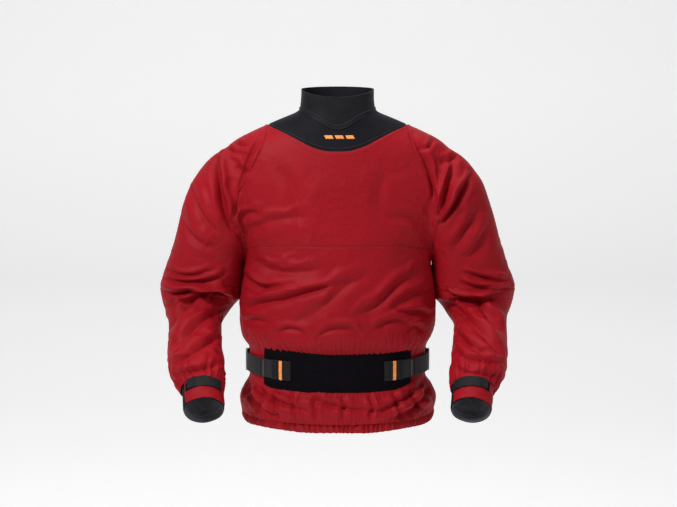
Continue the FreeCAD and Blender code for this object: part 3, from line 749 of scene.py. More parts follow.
LEFT_SLEEVE_CREASES = (
    (11, 7.0, 0.6, ((236, -106), (224, -140), (214, -178), (206, -216))),
    (10, 9.0, 0.7, ((272, -130), (250, -164), (228, -200), (208, -228))),
    (15, 5.0, 0.4, ((286, -198), (270, -222), (250, -250), (234, -284))),
    (16, 4.0, 0.3, ((302, -240), (288, -268), (262, -300))),
    (8, 3.0, 0.2, ((196, -60), (180, -76), (168, -72))),
    (10, 3.4, 0.3, ((248, -92), (226, -104), (206, -104))),
    (9, 5.5, 0.6, ((256, -330), (284, -336), (316, -346), (348, -354))),
    (9, 5.0, 0.5, ((244, -350), (276, -360), (312, -366), (350, -368))),
    (10, 8.0, 1.2, ((222, -372), (244, -382), (276, -388), (310, -384), (342, -372))),
    (12, 6.0, 0.6, ((276, -376), (296, -400), (320, -428), (338, -448))),
    (12, 5.0, 0.5, ((232, -400), (262, -420), (296, -446), (322, -478))),
    (11, 4.6, 0.4, ((226, -440), (254, -456), (286, -472), (312, -500))),
    (8, 3.4, 0.3, ((232, -476), (262, -484), (296, -488), (324, -492))),
    (8, 3.4, 0.3, ((230, -500), (260, -508), (290, -512), (318, -514))),
)

# Creases of the back, in the same form; x still grows towards the wearer's left.
BACK_CREASES = (
    (16, 4.0, 0.4, ((-176, -96), (-160, -150), (-164, -210), (-176, -256))),
    (16, 4.0, -0.4, ((176, -100), (160, -156), (166, -214), (178, -258))),
    (20, 3.4, 0.3, ((-120, -170), (-60, -188), (10, -190), (80, -180), (130, -166))),
    (18, 3.4, 0.3, ((-150, -240), (-90, -228), (-20, -232), (40, -246))),
    (16, 5.0, 0.6, ((-180, -380), (-130, -362), (-60, -360), (0, -376))),
    (16, 5.0, 0.6, ((180, -360), (130, -350), (70, -356), (10, -340))),
    (14, 5.0, 0.6, ((-150, -420), (-90, -404), (-30, -410), (30, -426))),
    (14, 4.6, 0.6, ((40, -414), (96, -396), (150, -404), (186, -420))),
    (12, 4.0, 0.5, ((-120, -452), (-80, -436), (-44, -446))),
    (12, 4.0, 0.5, ((20, -450), (60, -436), (104, -448))),
    (10, 4.0, 0.2, ((-150, -568), (-160, -590), (-176, -618))),
    (10, 3.6, 0.2, ((-100, -568), (-106, -592), (-98, -622))),
    (10, 3.6, -0.2, ((-50, -568), (-44, -594), (-52, -622))),
    (10, 3.6, 0.2, ((0, -568), (6, -592), (-2, -622))),
    (10, 3.6, -0.2, ((52, -568), (60, -592), (52, -622))),
    (10, 3.6, 0.2, ((104, -568), (100, -594), (110, -622))),
    (10, 4.0, 0.2, ((152, -568), (164, -590), (178, -618))),
    # back of the sleeves
    (14, 5.0, 0.4, ((-222, -110), (-232, -160), (-226, -214), (-212, -250))),
    (14, 5.0, 0.4, ((222, -106), (230, -160), (224, -214), (212, -250))),
    (15, 4.0, 0.3, ((-306, -190), (-282, -236), (-246, -270))),
    (15, 4.0, 0.3, ((308, -190), (282, -236), (246, -270))),
    (13, 4.0, 0.4, ((-350, -310), (-310, -324), (-262, -318))),
    (13, 4.0, 0.4, ((350, -310), (310, -324), (262, -318))),
    (12, 4.5, 0.5, ((-356, -430), (-316, -446), (-262, -440))),
    (12, 4.5, 0.5, ((356, -430), (316, -446), (262, -440))),
    (12, 4.0, 0.5, ((-340, -480), (-300, -492), (-256, -486))),
    (12, 4.0, 0.5, ((340, -480), (300, -492), (256, -486))),
)


CREASE_SHARE = 1.7  # how much of its listed depth each crease gets


def crease_heights(points, facing, width, depth, lean, line, seed):
    """How far each point moves out or in along one crease."""
    curve = np.array(smooth_rows(np.array(line, float) * MM, 6))
    middle = curve.mean(axis=0)
    reach = np.ptp(curve, axis=0).max() / 2 + np.abs(curve - middle).max() + 3.2 * width * MM
    flat = points[:, (0, 2)]
    near = np.flatnonzero((facing > 0.01) & (np.abs(flat - middle).max(axis=1) < reach))
    here = flat[near]
    best = np.full(len(near), np.inf)
    side = np.zeros(len(near))
    share = np.zeros(len(near))
    for i in range(len(curve) - 1):
        start, step = curve[i], curve[i + 1] - curve[i]
        t = np.clip((here - start) @ step / (step @ step), 0, 1)
        gap = here - start - t[:, None] * step
        distance = np.hypot(gap[:, 0], gap[:, 1])
        closer = distance < best
        best[closer] = distance[closer]
        cross = step[0] * gap[:, 1] - step[1] * gap[:, 0]
        side[closer] = np.sign(cross[closer])
        share[closer] = ((i + t) / (len(curve) - 1))[closer]
    upper = 1 if (curve[-1] - curve[0])[0] > 0 else -1
    wobble = 1 + 0.35 * lattice_noise(points[near], 38, seed)
    u = side * upper * best / (width * MM * wobble)
    valley = np.exp(-(np.abs(u) / 0.50) ** 1.35)
    above = np.exp(-((u - 1.15) / 0.62) ** 2) * (0.55 + 0.45 * lean)
    below = np.exp(-((u + 1.25) / 0.75) ** 2) * (0.45 - 0.35 * lean)
    taper = np.sin(math.pi * np.clip(share, 0, 1) * 0.96 + 0.06) ** 0.75
    heights = np.zeros(len(points))
    heights[near] = (above + below - valley) * np.clip(taper, 0, 1) * CREASE_SHARE * depth * MM * facing[near]
    return heights


def gathers(points, strength, pitch, seed):
    """Fine upright pleats where cloth is drawn in, deeper where strength is higher."""
    around = np.arctan2(points[:, 1], points[:, 0]) * 0.16
    drift = lattice_noise(points, 30, seed) * 0.006 + lattice_noise(points, 9, seed + 1) * 0.012
    phase = (around + drift) / pitch * 2 * math.pi
    uneven = 0.6 + 0.6 * lattice_noise(points * np.array([1, 1, 0.25]), 55, seed + 2)
    return (np.sin(phase) * 0.6 + np.sin(phase * 1.73 + 1.0) * 0.4) * strength * np.clip(uneven, 0.1, 1.3)


def sleeve_gathers(points, centre, down, strength, pitch, seed):
    """Pleats that run down a sleeve where it is drawn into its cuff."""
    rel = points - np.array(centre)
    across = rel - np.outer(rel @ np.array(down), np.array(down))
    angle = np.arctan2(across[:, 0], across[:, 1] - across[:, 2])
    phase = angle * 0.05 / pitch * 2 * math.pi + 2.4 * lattice_noise(points, 34, seed)
    return (np.sin(phase) * 0.65 + np.sin(phase * 1.61) * 0.35) * strength


def fold_cloth(points, normals, amount):
    """Moves the points of the garment's one skin into its folds."""
    x, y, z = points.T
    front = ease(-normals[:, 1], -0.05, 0.45)
    back = ease(normals[:, 1], -0.05, 0.45)
    heights = np.zeros(len(points))
    for group, facing in ((FRONT_CREASES, front), (RIGHT_SLEEVE_CREASES, front), (LEFT_SLEEVE_CREASES, front),
                          (BACK_CREASES, back)):
        for number, (width, depth, lean, line) in enumerate(group):
            heights += crease_heights(points, facing, width, depth, lean, line, number + 3)
    # broad hanging shape and small creasing, quieter on the yoke and where the belt holds the cloth
    below_top = ease(-z, -WAIST_TOP - 0.010, -WAIST_TOP + 0.012)
    held = below_top * ease(z, WAIST_FOOT - 0.012, WAIST_FOOT + 0.010)
    free = ease(-z, 0.03, 0.10) * (1 - held)
    broad = lattice_noise(points * np.array([1, 1, 0.8]), 13, 40) * 2.2 + lattice_noise(points, 27, 41) * 1.2
    warp = points + np.column_stack([lattice_noise(points, 18, s) for s in (50, 51, 52)]) * 0.020
    ridges = 1 - 2 * np.abs(lattice_noise(warp * np.array([0.9, 1, 1.5]), 34, 42))
    fine = 1 - 2 * np.abs(lattice_noise(warp * np.array([1.2, 1, 1.0]), 75, 43))
    patchy = ease(lattice_noise(points, 11, 44), -0.4, 0.5)
    calm = 1 - 0.65 * ease(z, -0.29, -0.20) * ease(-np.abs(x), -0.19, -0.12) * ease(-y, 0.0, 0.05)
    heights += (broad + (ridges * 1.1 + fine * 0.35) * patchy) * MM * free * calm
    # drawn in at the belt, at the hem and at the cuffs
    above_belt = np.exp(-((z - WAIST_TOP - 0.006) / 0.020) ** 2)
    below_belt = np.exp(-((z - WAIST_FOOT + 0.004) / 0.018) ** 2)
    at_hem = ease(-z, -HEM_TOP - 0.040, -HEM_TOP)
    torso = ease(raglan(z) + 0.004 - np.abs(x), 0, 0.006)
    heights += torso * (gathers(points, 2.2 * MM * above_belt, 0.0125, 60)
                        + gathers(points, 1.3 * MM * below_belt, 0.013, 61)
                        + gathers(points, 1.5 * MM * at_hem, 0.0105, 62))
    for _, sign in SIDES:
        centre, down = mirror(ELBOW, sign), mirror(DOWN, sign)
        along = (points - np.array(centre)) @ np.array(down)
        on_arm = ease(sign * x - raglan(z), 0, 0.006)
        drawn = np.exp(-((along - 0.232) / 0.020) ** 2) * on_arm
        heights += sleeve_gathers(points, centre, down, 2.4 * MM * drawn, 0.0125, 70 + sign)
        heights += on_arm * ease(along, 0.02, 0.07) * (1 - ease(along, 0.21, 0.235)) * 2.2 * MM * (
            1 - 2 * np.abs(lattice_noise(warp * np.array([0.8, 1.6, 1.6]), 30, 80 + sign)))
    return points + normals * (heights * amount)[:, None]


# ---------------------------------------------------------------- seams


def seam_groove(points, field, width, depth):
    """How far points near a seam move in, with a low welt on one side."""
    distance = field(points)
    groove = np.exp(-(distance / width) ** 2) * -depth
    welt = np.exp(-((distance + 2.2 * width) / (1.2 * width)) ** 2) * 0.45 * depth
    return groove + welt


def stitches(name, runs, normal_at, pitch, long, thick, finish="thread"):
    """A row of short stitches along runs of points."""
    points, faces = [], []
    for run in runs:
        steps = np.linalg.norm(np.diff(run, axis=0), axis=1)
        travelled = np.concatenate([[0], np.cumsum(steps)])
        count = int(travelled[-1] / pitch)
        if count < 2:
            continue
        places = (np.arange(count) + 0.5) * pitch
        middle = np.column_stack([np.interp(places, travelled, run[:, k]) for k in range(3)])
        ahead = np.column_stack([np.interp(places + pitch * 0.5, travelled, run[:, k]) for k in range(3)])
        behind = np.column_stack([np.interp(places - pitch * 0.5, travelled, run[:, k]) for k in range(3)])
        along = ahead - behind
        along /= np.maximum(np.linalg.norm(along, axis=1), 1e-9)[:, None]
        out = normal_at(middle)
        across = np.cross(along, out)
        for centre, forward, normal, sidewards in zip(middle, along, out, across):
            base = len(points)
            for end in (-1, 1):
                for k in range(4):
                    angle = math.pi * (k / 3)
                    ahead_by = end * long / 2 * (0.75 if k in (1, 2) else 1.0)
                    wide, high_by = math.cos(angle) * thick / 2, math.sin(angle) * thick * 0.7
                    points.append(centre + forward * ahead_by + sidewards * wide + normal * high_by)
            faces += [(base + k, base + k + 1, base + 5 + k, base + 4 + k) for k in range(3)]
            faces += [(base + 3, base + 2, base + 1, base), (base + 4, base + 5, base + 6, base + 7)]
            faces += [(base, base + 4, base + 7, base + 3)]
    return add_mesh(name, points, faces, finish)


class Nearest:
    """Looks up a mesh's normal nearest to a place."""

    def __init__(self, piece):
        points, self.normals = points_of(piece.data), normals_of(piece.data)
        self.tree = KDTree(len(points))
        for index, point in enumerate(points):
            self.tree.insert(point, index)
        self.tree.balance()

    def __call__(self, places):
        return np.array([self.normals[self.tree.find(place)[1]] for place in places])


# ---------------------------------------------------------------- body and sleeves


def in_collar(points):
    """Above zero inside the collar's edge, seen from above."""
    x, y, z = points.T
    return (1 - (x / SHOULDER_EDGE) ** 2 - (y / COLLAR_DEPTH) ** 2) * 0.06 + np.minimum(z + 0.15, 0) * 10


def in_body(points):
    """Above zero between the raglan seams."""
    return raglan(points[:, 2]) - np.abs(points[:, 0])


def outside_neck(points):
    """Above zero outside the neck seal's wall."""
    x, y, z = points.T
    ring = (np.hypot(x / 0.0752, y / 0.0728) - 1) * 0.07
    return np.where(z < -0.1, 1.0, np.minimum(ring, 0.0075 - z))


def above_chest_seam(points):
    """Above zero over the seam across the chest, which rises a little towards the front."""
    seam = high("belly_front").z + 0.019 * ease(-points[:, 1], 0.02, 0.12)
    return points[:, 2] - seam


def above_elbow_seam(sign):
    """Above zero over the elbow seam of a side."""
    def over(points):
        x, y, z = points.T
        return (z + 0.372) + 0.03 * (sign * x - 0.29) + 0.10 * (y - 0.03)

    return over


def area_of(piece):
    """Area of a piece's faces before it is thickened."""
    return sum(face.area for face in piece.data.polygons)


def declare_sheet(piece, width, area=None):
    """Works out the length that a sheet's area needs at the width given; the result is neither kept nor
    shown.
    """
    area = area or area_of(piece)
    area / width


class PT_OT_cloth(bpy.types.Operator):
    """Body and sleeves: one skin put into its folds, then cut along its seams"""

    bl_idname = "paddling.cloth"
    bl_label = "Body and sleeves"

    def execute(self, context):
        settings = context.scene.pt_garment
        flat = Quaternion()
        left = arm_rings()
        body_rings = [((0, 0, z), a, b, flat) for z, a, b in smooth_rows(BODY_LEVELS, 4)]
        forms = [
            closed_loft("body_form", body_rings),
            closed_loft("left_form", left),
            closed_loft("right_form", mirrored(left)),
        ]
        for form, sign in zip(forms[1:], (1, -1)):
            points = points_of(form.data)
            points[:, 0] += sign * spread(points[:, 2])
            set_points(form.data, points)
        skin = join(forms, "skin")
        use_modifier(skin, "REMESH", mode="VOXEL", voxel_size=settings.cell)
        use_modifier(skin, "SMOOTH", factor=0.5, iterations=10)
        use_modifier(skin, "SUBSURF", levels=1)
        points, normals = points_of(skin.data), normals_of(skin.data)
        normals = smooth_normals(skin.data, normals, 6)
        on_sleeve = np.abs(points[:, 0]) > raglan(points[:, 2])
        held_out = on_sleeve * np.sign(points[:, 0]) * spread(points[:, 2])
        points[:, 0] -= held_out
        points = fold_cloth(points, normals, settings.fold_depth)
        points[:, 0] += held_out
        seams = (
            (in_collar, 0.0016, 0.0009),
            (in_body, 0.0018, 0.0013),
            (above_chest_seam, 0.0016, 0.0009),
            (above_elbow_seam(1), 0.0018, 0.0012),
            (above_elbow_seam(-1), 0.0018, 0.0012),
        )
        masks = (
            lambda p: np.ones(len(p)),
            lambda p: (in_collar(p) < 0.002) * 1.0,
            lambda p: (in_body(p) > -0.004) * 1.0,
            lambda p: (p[:, 0] > 0.21) * 1.0,
            lambda p: (p[:, 0] < -0.21) * 1.0,
        )
        depth = sum(seam_groove(points, *seam) * mask(points) for seam, mask in zip(seams, masks))
        points += normals * depth[:, None]
        set_points(skin.data, points)
        skin.data.shade_smooth()
        cut_by(skin, outside_neck)
        body = cut_by(copy_of(skin, "body"), in_body)
        collar = cut_by(copy_of(body, "collar_cloth"), in_collar)
        cut_by(body, in_collar, keep_above=False)
        chest = cut_by(copy_of(body, "chest_cloth"), above_chest_seam)
        belly = cut_by(body, above_chest_seam, keep_above=False)
        cut_by(belly, lambda p: p[:, 2] - HEM_TOP + 0.002)
        belly.name = "belly_cloth"
        low_nodes = ["belly_front", "lower_back", "waistband", "skirt_front", "skirt_back"]
        parts = (
            (collar, "yoke_cloth", ["collar_yoke"], 0.40),
            (chest, "shell_cloth", ["chest_front", "upper_back"], 0.80),
            (belly, "shell_cloth", low_nodes, 1.20),
        )
        for piece, finish, nodes, width in parts:
            area = area_of(piece)
            dress(piece, finish, settings.cloth)
            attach(piece, JACKET)
            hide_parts(*nodes)
            declare_sheet(piece, width, area)
        for side, sign in SIDES:
            sleeve = cut_by(copy_of(skin, f"{side}_sleeve"), lambda p: sign * p[:, 0] - raglan(p[:, 2]))
            centre, down = mirror(ELBOW, sign), mirror(DOWN, sign)
            upper = cut_by(copy_of(sleeve, f"{side}_upper_sleeve_cloth"), above_elbow_seam(sign))
            lower = cut_by(sleeve, above_elbow_seam(sign), keep_above=False)
            cut_by(lower, lambda p: SLEEVE_END - (p - np.array(centre)) @ np.array(down))
            lower.name = f"{side}_forearm_cloth"
            areas = [area_of(piece) for piece in (upper, lower)]
            for piece in (upper, lower):
                points = points_of(piece.data)
                points[:, 0] -= sign * spread(points[:, 2])
                set_points(piece.data, points)
                dress(piece, "shell_cloth", settings.cloth)
            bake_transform(upper)
            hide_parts(f"{side}_upper_sleeve")
            declare_sheet(upper, 0.46, areas[0])
            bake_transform(lower)
            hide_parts(f"{side}_elbow_cloth", f"{side}_forearm_sleeve")
            declare_sheet(lower, 0.42, areas[1])
        bpy.data.objects.remove(skin)
        return {"FINISHED"}


def smooth_normals(mesh, normals, rounds):
    """Normals averaged over the neighbouring points."""
    ends = np.empty(len(mesh.edges) * 2, np.int32)
    mesh.edges.foreach_get("vertices", ends)
    a, b = ends.reshape(-1, 2).T
    for _ in range(rounds):
        total = normals.copy()
        for k in range(3):
            near = np.bincount(a, normals[b, k], len(normals)) + np.bincount(b, normals[a, k], len(normals))
            total[:, k] += near
        normals = total / np.linalg.norm(total, axis=1)[:, None]
    return normals


def dress(piece, finish, depth):
    """Gives a sheet of cloth its finish and its thickness."""
    piece.data.materials.clear()
    piece.data.materials.append(FINISHES[finish])
    piece.data.shade_smooth()
    thicken(piece, depth)


class PT_OT_seams(bpy.types.Operator):
    """Topstitching along the garment's seams"""

    bl_idname = "paddling.seams"
    bl_label = "Seams"

    def execute(self, context):
        rows = (
            ("chest_cloth", "chest_stitches", above_chest_seam, (0.0030, 0.0085), "thread"),
            ("belly_cloth", "belly_stitches", above_chest_seam, (-0.0030,), "thread"),
            ("chest_cloth", "raglan_stitches", in_body, (0.0035,), "thread"),
            ("chest_cloth", "collar_stitches", in_collar, (-0.0022, -0.0048), "thread"),
            ("collar_cloth", "yoke_stitches", in_collar, (0.0025,), "dark_thread"),
        )
        for cloth, name, field, offsets, thread in rows:
            piece = bpy.data.objects[cloth]
            runs = []
            for offset in offsets:
                runs += contour(piece, lambda p: field(p) - offset)
            made = stitches(name, runs, Nearest(piece), 0.0042, 0.0030, 0.00055, thread)
            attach(made, JACKET)
        return {"FINISHED"}


# ---------------------------------------------------------------- neck seal and mark


NECK_OVAL = 0.975  # the neck seal's depth over its width


def neck_rim(front):
    """Height of the neck seal's rim, lowest at the front."""
    return high("neck_seal").z + 0.001 - 0.0115 * np.maximum(front, 0) ** 1.3


class PT_OT_neck(bpy.types.Operator):
    """Neck seal, its glued seam and the mark under it"""

    bl_idname = "paddling.neck"
    bl_label = "Neck seal"

    def execute(self, context):
        foot_radius, rim_radius = high("neck_seal").x + 0.0008, high("neck_seal").x - 0.0030
        cloth = BVHTree.FromObject(bpy.data.objects["collar_cloth"], bpy.context.evaluated_depsgraph_get())
        turns = np.linspace(0, 2 * math.pi, 97)
        hits = []
        for turn in turns[:-1]:
            above = Vector((foot_radius * math.cos(turn), foot_radius * NECK_OVAL * math.sin(turn), 0.1))
            hits.append(cloth.ray_cast(above, Vector((0, 0, -1)))[0].z)
        for _ in range(4):
            hits = (np.roll(hits, 1) + 2 * np.array(hits) + np.roll(hits, -1)) / 4
        hits = np.append(hits, hits[0])

        def outside(u, v):
            angle = u * 2 * math.pi
            front = -np.sin(angle)
            seam, rim = np.interp(angle, turns, hits), neck_rim(front)
            foot = seam - 0.004
            height = foot + (rim - foot) * v
            flare = 0.0030 * (1 - v) ** 8 + 0.0008 * v ** 6
            bead = 0.0012 * np.exp(-((height - seam - 0.0022) / 0.0016) ** 2)
            groove = -0.0006 * np.exp(-((height - seam - 0.0062) / 0.0012) ** 2)
            place = np.column_stack([np.cos(angle), np.sin(angle), v])
            dent = 0.0007 * lattice_noise(place, 2.2, 9) * ease(v, 0.1, 0.5)
            radius = foot_radius + (rim_radius - foot_radius) * v ** 0.7 + flare + dent + bead + groove
            return radius * np.cos(angle), radius * NECK_OVAL * np.sin(angle), height

        seal = add_grid("neck_gasket", "gasket", outside, 192, 90, True, (0.47, 0.06))
        thicken(seal, 0.0028, 0.0009, 3)
        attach(seal, JACKET)
        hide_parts("neck_seal")
        self.add_mark()
        return {"FINISHED"}

    def add_mark(self):
        """Three plain bars of raised print, which spell nothing."""
        cloth = bpy.data.objects["collar_cloth"]
        tree = BVHTree.FromObject(cloth, bpy.context.evaluated_depsgraph_get())
        points, faces = [], []
        for bar, (start, end) in enumerate(((-0.029, -0.013), (-0.008, 0.008), (0.013, 0.029))):
            for column in range(9):
                for row in range(4):
                    x = 0.004 + start + (end - start) * column / 8 + (row - 1.5) * 0.0012
                    hit = tree.ray_cast(Vector((x, -0.4, -0.048 - row * 0.0022)), Vector((0, 1, 0)))
                    points.append(hit[0] + hit[1] * 0.0005)
            base = bar * 36
            faces += [
                (base + c * 4 + r, base + c * 4 + r + 1, base + c * 4 + r + 5, base + c * 4 + r + 4)
                for c in range(8) for r in range(3)
            ]
        mark = add_mesh("collar_mark", points, faces, "bar_orange")
        use_modifier(mark, "SOLIDIFY", thickness=0.0005, offset=1)
        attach(mark, JACKET)


# ---------------------------------------------------------------- hem and tunnel

HEM_FLAT, TUNNEL_FLAT = 1.20, 1.0  # how long each strip of cloth is before it is drawn in
GRIP_HIGH = 0.018  # height of the grip strip inside the tunnel


class PT_OT_hem(bpy.types.Operator):
    """Hem casing gathered over its elastic, and the tunnel inside the skirt"""

    bl_idname = "paddling.hem"
    bl_label = "Hem and tunnel"

    def execute(self, context):
        half_x, half_y = high("hem_casing").x - 0.003, high("hem_casing").y - 0.003
        rib_count = 100
        top, foot = HEM_TOP + 0.004, HEM_FOOT

        def casing(u, v):
            angle = u * 2 * math.pi
            place = np.column_stack([np.cos(angle), np.sin(angle), v * 0.05])
            drift = lattice_noise(place, 6, 21) * 1.3 + lattice_noise(place, 16, 22) * 0.6
            rib = np.sin(angle * rib_count + drift * 6)
            size = 0.55 + 0.45 * lattice_noise(place, 24, 23)
            body = np.sin(math.pi * np.clip(v, 0, 1)) ** 0.45
            sag = 0.0022 * lattice_noise(place, 2.5, 24)
            out = -0.0022 + 0.0046 * body + 0.0034 * rib * np.abs(size) * (0.45 + 0.55 * body) + sag
            out -= 0.0006 * np.exp(-((v - 0.86) / 0.05) ** 2) + 0.0008 * np.exp(-((v - 0.14) / 0.05) ** 2)
            height = foot + (top - foot) * v + 0.0018 * lattice_noise(place, 3, 25) + 0.0007 * rib * (1 - v)
            return (half_x + out) * np.cos(angle), (half_y + out) * np.sin(angle), height

        hem = add_grid("hem_gathered", "shell_cloth", casing, 1504, 22, True, (1.03, 0.026))
        thicken(hem, 0.0016)
        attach(hem, JACKET)
        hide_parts("hem_casing", "hem_elastic")
        tunnel_x, tunnel_y = high("inner_tunnel").x, high("inner_tunnel").y
        end_x, end_y = tunnel_x - 0.022, tunnel_y - 0.022
        tunnel_top, tunnel_foot = high("inner_tunnel").z, low("inner_tunnel").z

        def tunnel(u, v):
            angle = u * 2 * math.pi
            place = np.column_stack([np.cos(angle), np.sin(angle), v * 0.5])
            fold = 0.0022 * lattice_noise(place * [4, 4, 1], 3, 31) * np.sin(math.pi * v) ** 0.5
            pleat = 0.0010 * np.sin(angle * 64 + lattice_noise(place, 4, 32) * 3) * v ** 3
            wide = end_x + (tunnel_x - end_x) * v + fold + pleat - 0.001
            deep = end_y + (tunnel_y - end_y) * v + fold + pleat - 0.001
            return wide * np.cos(angle), deep * np.sin(angle), tunnel_foot + (tunnel_top - tunnel_foot) * v

        inner = add_grid("tunnel_cloth", "tunnel_cloth", tunnel, 320, 40, True, (TUNNEL_FLAT, 0.144))
        thicken(inner, 0.0006)
        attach(inner, JACKET)
        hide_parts("inner_tunnel")

        def grip(u, v):
            angle = u * 2 * math.pi
            ripple = 0.0005 * np.sin(v * math.pi * 10)
            share = v * GRIP_HIGH / (tunnel_top - tunnel_foot)
            wide = end_x + (tunnel_x - end_x) * share - 0.0026 + ripple
            deep = end_y + (tunnel_y - end_y) * share - 0.0026 + ripple
            return wide * np.cos(angle), deep * np.sin(angle), tunnel_foot + GRIP_HIGH * v

        strip = add_grid("tunnel_grip", "gasket", grip, 240, 41, True, (0.9, GRIP_HIGH))
        thicken(strip, 0.001)
        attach(strip, JACKET)
        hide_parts("tunnel_grip_strip")
        return {"FINISHED"}


# ---------------------------------------------------------------- belt

BELT_Z = (low("back_belt_webbing").z, high("back_belt_webbing").z)
STRAP_OUT = 0.0048  # from the waistband to the webbing's inner face
PANEL_OUT = 0.0046  # from the waistband to the loop panel's outer face
WEBBING = 0.0018  # thickness of the webbing


def round_waist(angle, height, out):
    """A place round the waistband, some way outside it."""
    return (WAIST_X + out) * np.cos(angle), (WAIST_Y + out) * np.sin(angle), height


def waist_angle(x, sign, front=True):
    """The angle round the waist where its front or back stands at x."""
    turn = math.acos(min(max(x / WAIST_X, -1), 1))
    angle = -turn if front else turn
    return angle if sign > 0 else math.pi - angle


def belt_band(name, finish, start, end, span, out, depth, columns, ripple=None):
    """A flat band round the waist from one angle to another, with rounded edges."""
    low_z, high_z = span

    def surface(u, v):
        angle = start + (end - start) * u
        extra = ripple(u, v) if ripple else 0
        sag = 0.0005 * np.sin(u * 9 + v)
        return round_waist(angle, low_z + (high_z - low_z) * v, out + depth + extra + sag * 0.4)

    long = abs(end - start) * (WAIST_X + WAIST_Y) / 2
    band = add_grid(name, finish, surface, columns, 14, False, (long, high_z - low_z))
    if end < start:
        change_faces(band, bmesh.ops.reverse_faces)
    thicken(band, depth, min(0.0005, depth * 0.3))
    band.data.shade_smooth()
    return band


class PT_OT_belt(bpy.types.Operator):
    """Loop panel, webbing, rings, keepers and the belt's free ends"""

    bl_idname = "paddling.belt"
    bl_label = "Belt"

    def execute(self, context):
        self.add_panel()
        foot, top = BELT_Z
        ends = math.radians(3), math.radians(177)
        back = belt_band("belt_back", "webbing", *ends, BELT_Z, STRAP_OUT, WEBBING, 200)
        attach(back, JACKET)
        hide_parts("back_belt_webbing")
        declare_sheet(back, top - foot, area_of(back) / 2)
        for side, sign in SIDES:
            self.add_side(side, sign)
        return {"FINISHED"}

    def add_panel(self):
        """The loop panel on the front; its top edge dips at the middle, and its ends slope."""
        half = high("front_loop_panel").x
        foot, top = low("front_loop_panel").z + 0.0005, high("front_loop_panel").z - 0.0005

        def surface(u, v):
            x = (u * 2 - 1) * half
            angle = -np.arccos(np.clip(x / (WAIST_X + PANEL_OUT), -1, 1))
            edge = 0.0045 * np.cos(u * 2 * math.pi) - 0.003 * np.abs(u * 2 - 1) ** 6
            height = foot + (top - foot) * v + edge * v
            uneven = lattice_noise(np.column_stack([x, v * 0.05, x * 0]), 20, 90)
            swell = 0.0012 * np.sin(math.pi * v) ** 0.5 + 0.0009 * uneven
            for seam in (0.07, 0.93):
                swell -= 0.0008 * np.exp(-((v - seam) / 0.025) ** 2)
            return round_waist(angle, height, PANEL_OUT + swell)

        panel = add_grid("front_panel", "loop_neoprene", surface, 200, 60, False, (0.34, 0.085))
        thicken(panel, 0.003, 0.0010, 3)
        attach(panel, JACKET)
        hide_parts("front_loop_panel")

    def add_side(self, side, sign):
        """One side's strap, ring, keeper and free end."""
        foot, top = BELT_Z
        tab_root, tab_tip = high("left_waist_tab").x, low("left_waist_tab").x
        grip_from = high("left_waist_hook_pad").x

        def at(x, front=True):
            return waist_angle(x, sign, front)

        strap = belt_band(f"{side}_belt_front", "webbing", at(tab_root + 0.0013), at(WAIST_X * 0.9985),
                          BELT_Z, STRAP_OUT, WEBBING, 60)
        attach(strap, JACKET)
        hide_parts(f"{side}_belt_strap")
        declare_sheet(strap, top - foot, area_of(strap) / 2)
        self.add_ring(side, sign)
        keeper = belt_band(f"{side}_keeper", "shell_cloth", at(0.103, False), at(0.087, False),
                           (foot - 0.004, top + 0.004), STRAP_OUT + 0.002, 0.0012, 16,
                           lambda u, v: -0.0045 * (np.abs(v * 2 - 1) ** 10) + 0.0004 * np.sin(u * 20))
        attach(keeper, JACKET)
        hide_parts(f"{side}_belt_keeper")
        declare_sheet(keeper, 0.016, area_of(keeper) / 2)

        # free end: webbing, then a ribbed grip with a coloured bar
        end = f"{side}_belt_end"
        run = belt_band(f"{side}_tab_webbing", "webbing", at(tab_root), at(grip_from - 0.002), BELT_Z,
                        STRAP_OUT + 0.0006, WEBBING, 40, lambda u, v: 0.0012 * ease(u, 0.4, 1.0))
        grip_long = grip_from - tab_tip
        bar = (low("left_waist_tab_bar").x, high("left_waist_tab_bar").x - 0.003)

        def ribs(u, v):
            x = grip_from - grip_long * u
            rib = ease(np.cos(x / 0.0070 * 2 * math.pi), -0.5, 0.3) * 0.0012
            on_bar = (x > bar[0] - 0.001) & (x < bar[1] + 0.001)
            rounded = -0.0012 * np.abs(v * 2 - 1) ** 12
            return np.where(on_bar, 0.0, rib) + rounded + 0.0006

        span = (low("left_waist_tab").z, high("left_waist_tab").z)
        grip = belt_band(f"{side}_tab_grip", "strap_tab", at(grip_from), at(tab_tip), span,
                         STRAP_OUT + 0.0004, 0.0030, 150, ribs)
        stripe = belt_band(f"{side}_tab_bar", "bar_orange", at(bar[1]), at(bar[0]),
                           (span[0] + 0.0005, span[1] - 0.0005), STRAP_OUT + 0.0040, 0.0014, 16,
                           lambda u, v: -0.0009 * np.abs(v * 2 - 1) ** 8)
        pad = belt_band(f"{side}_hook_pad", "hook", at(grip_from - 0.001), at(tab_tip + 0.001), BELT_Z,
                        PANEL_OUT + 0.0006, 0.0010, 30)
        tack = belt_band(f"{side}_bartack", "dark_thread", at(tab_root - 0.004), at(tab_root - 0.0065),
                         (foot + 0.002, top - 0.002), STRAP_OUT + 0.0024, 0.0006, 6)
        for piece, nodes in ((run, [f"{side}_waist_tab"]), (grip, [f"{side}_waist_tab"]), (tack, []),
                             (stripe, [f"{side}_waist_tab_bar"]), (pad, [f"{side}_waist_hook_pad"])):
            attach(piece, end)
            if nodes:
                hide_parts(*nodes)
        declare_sheet(run, top - foot, area_of(run) / 2)

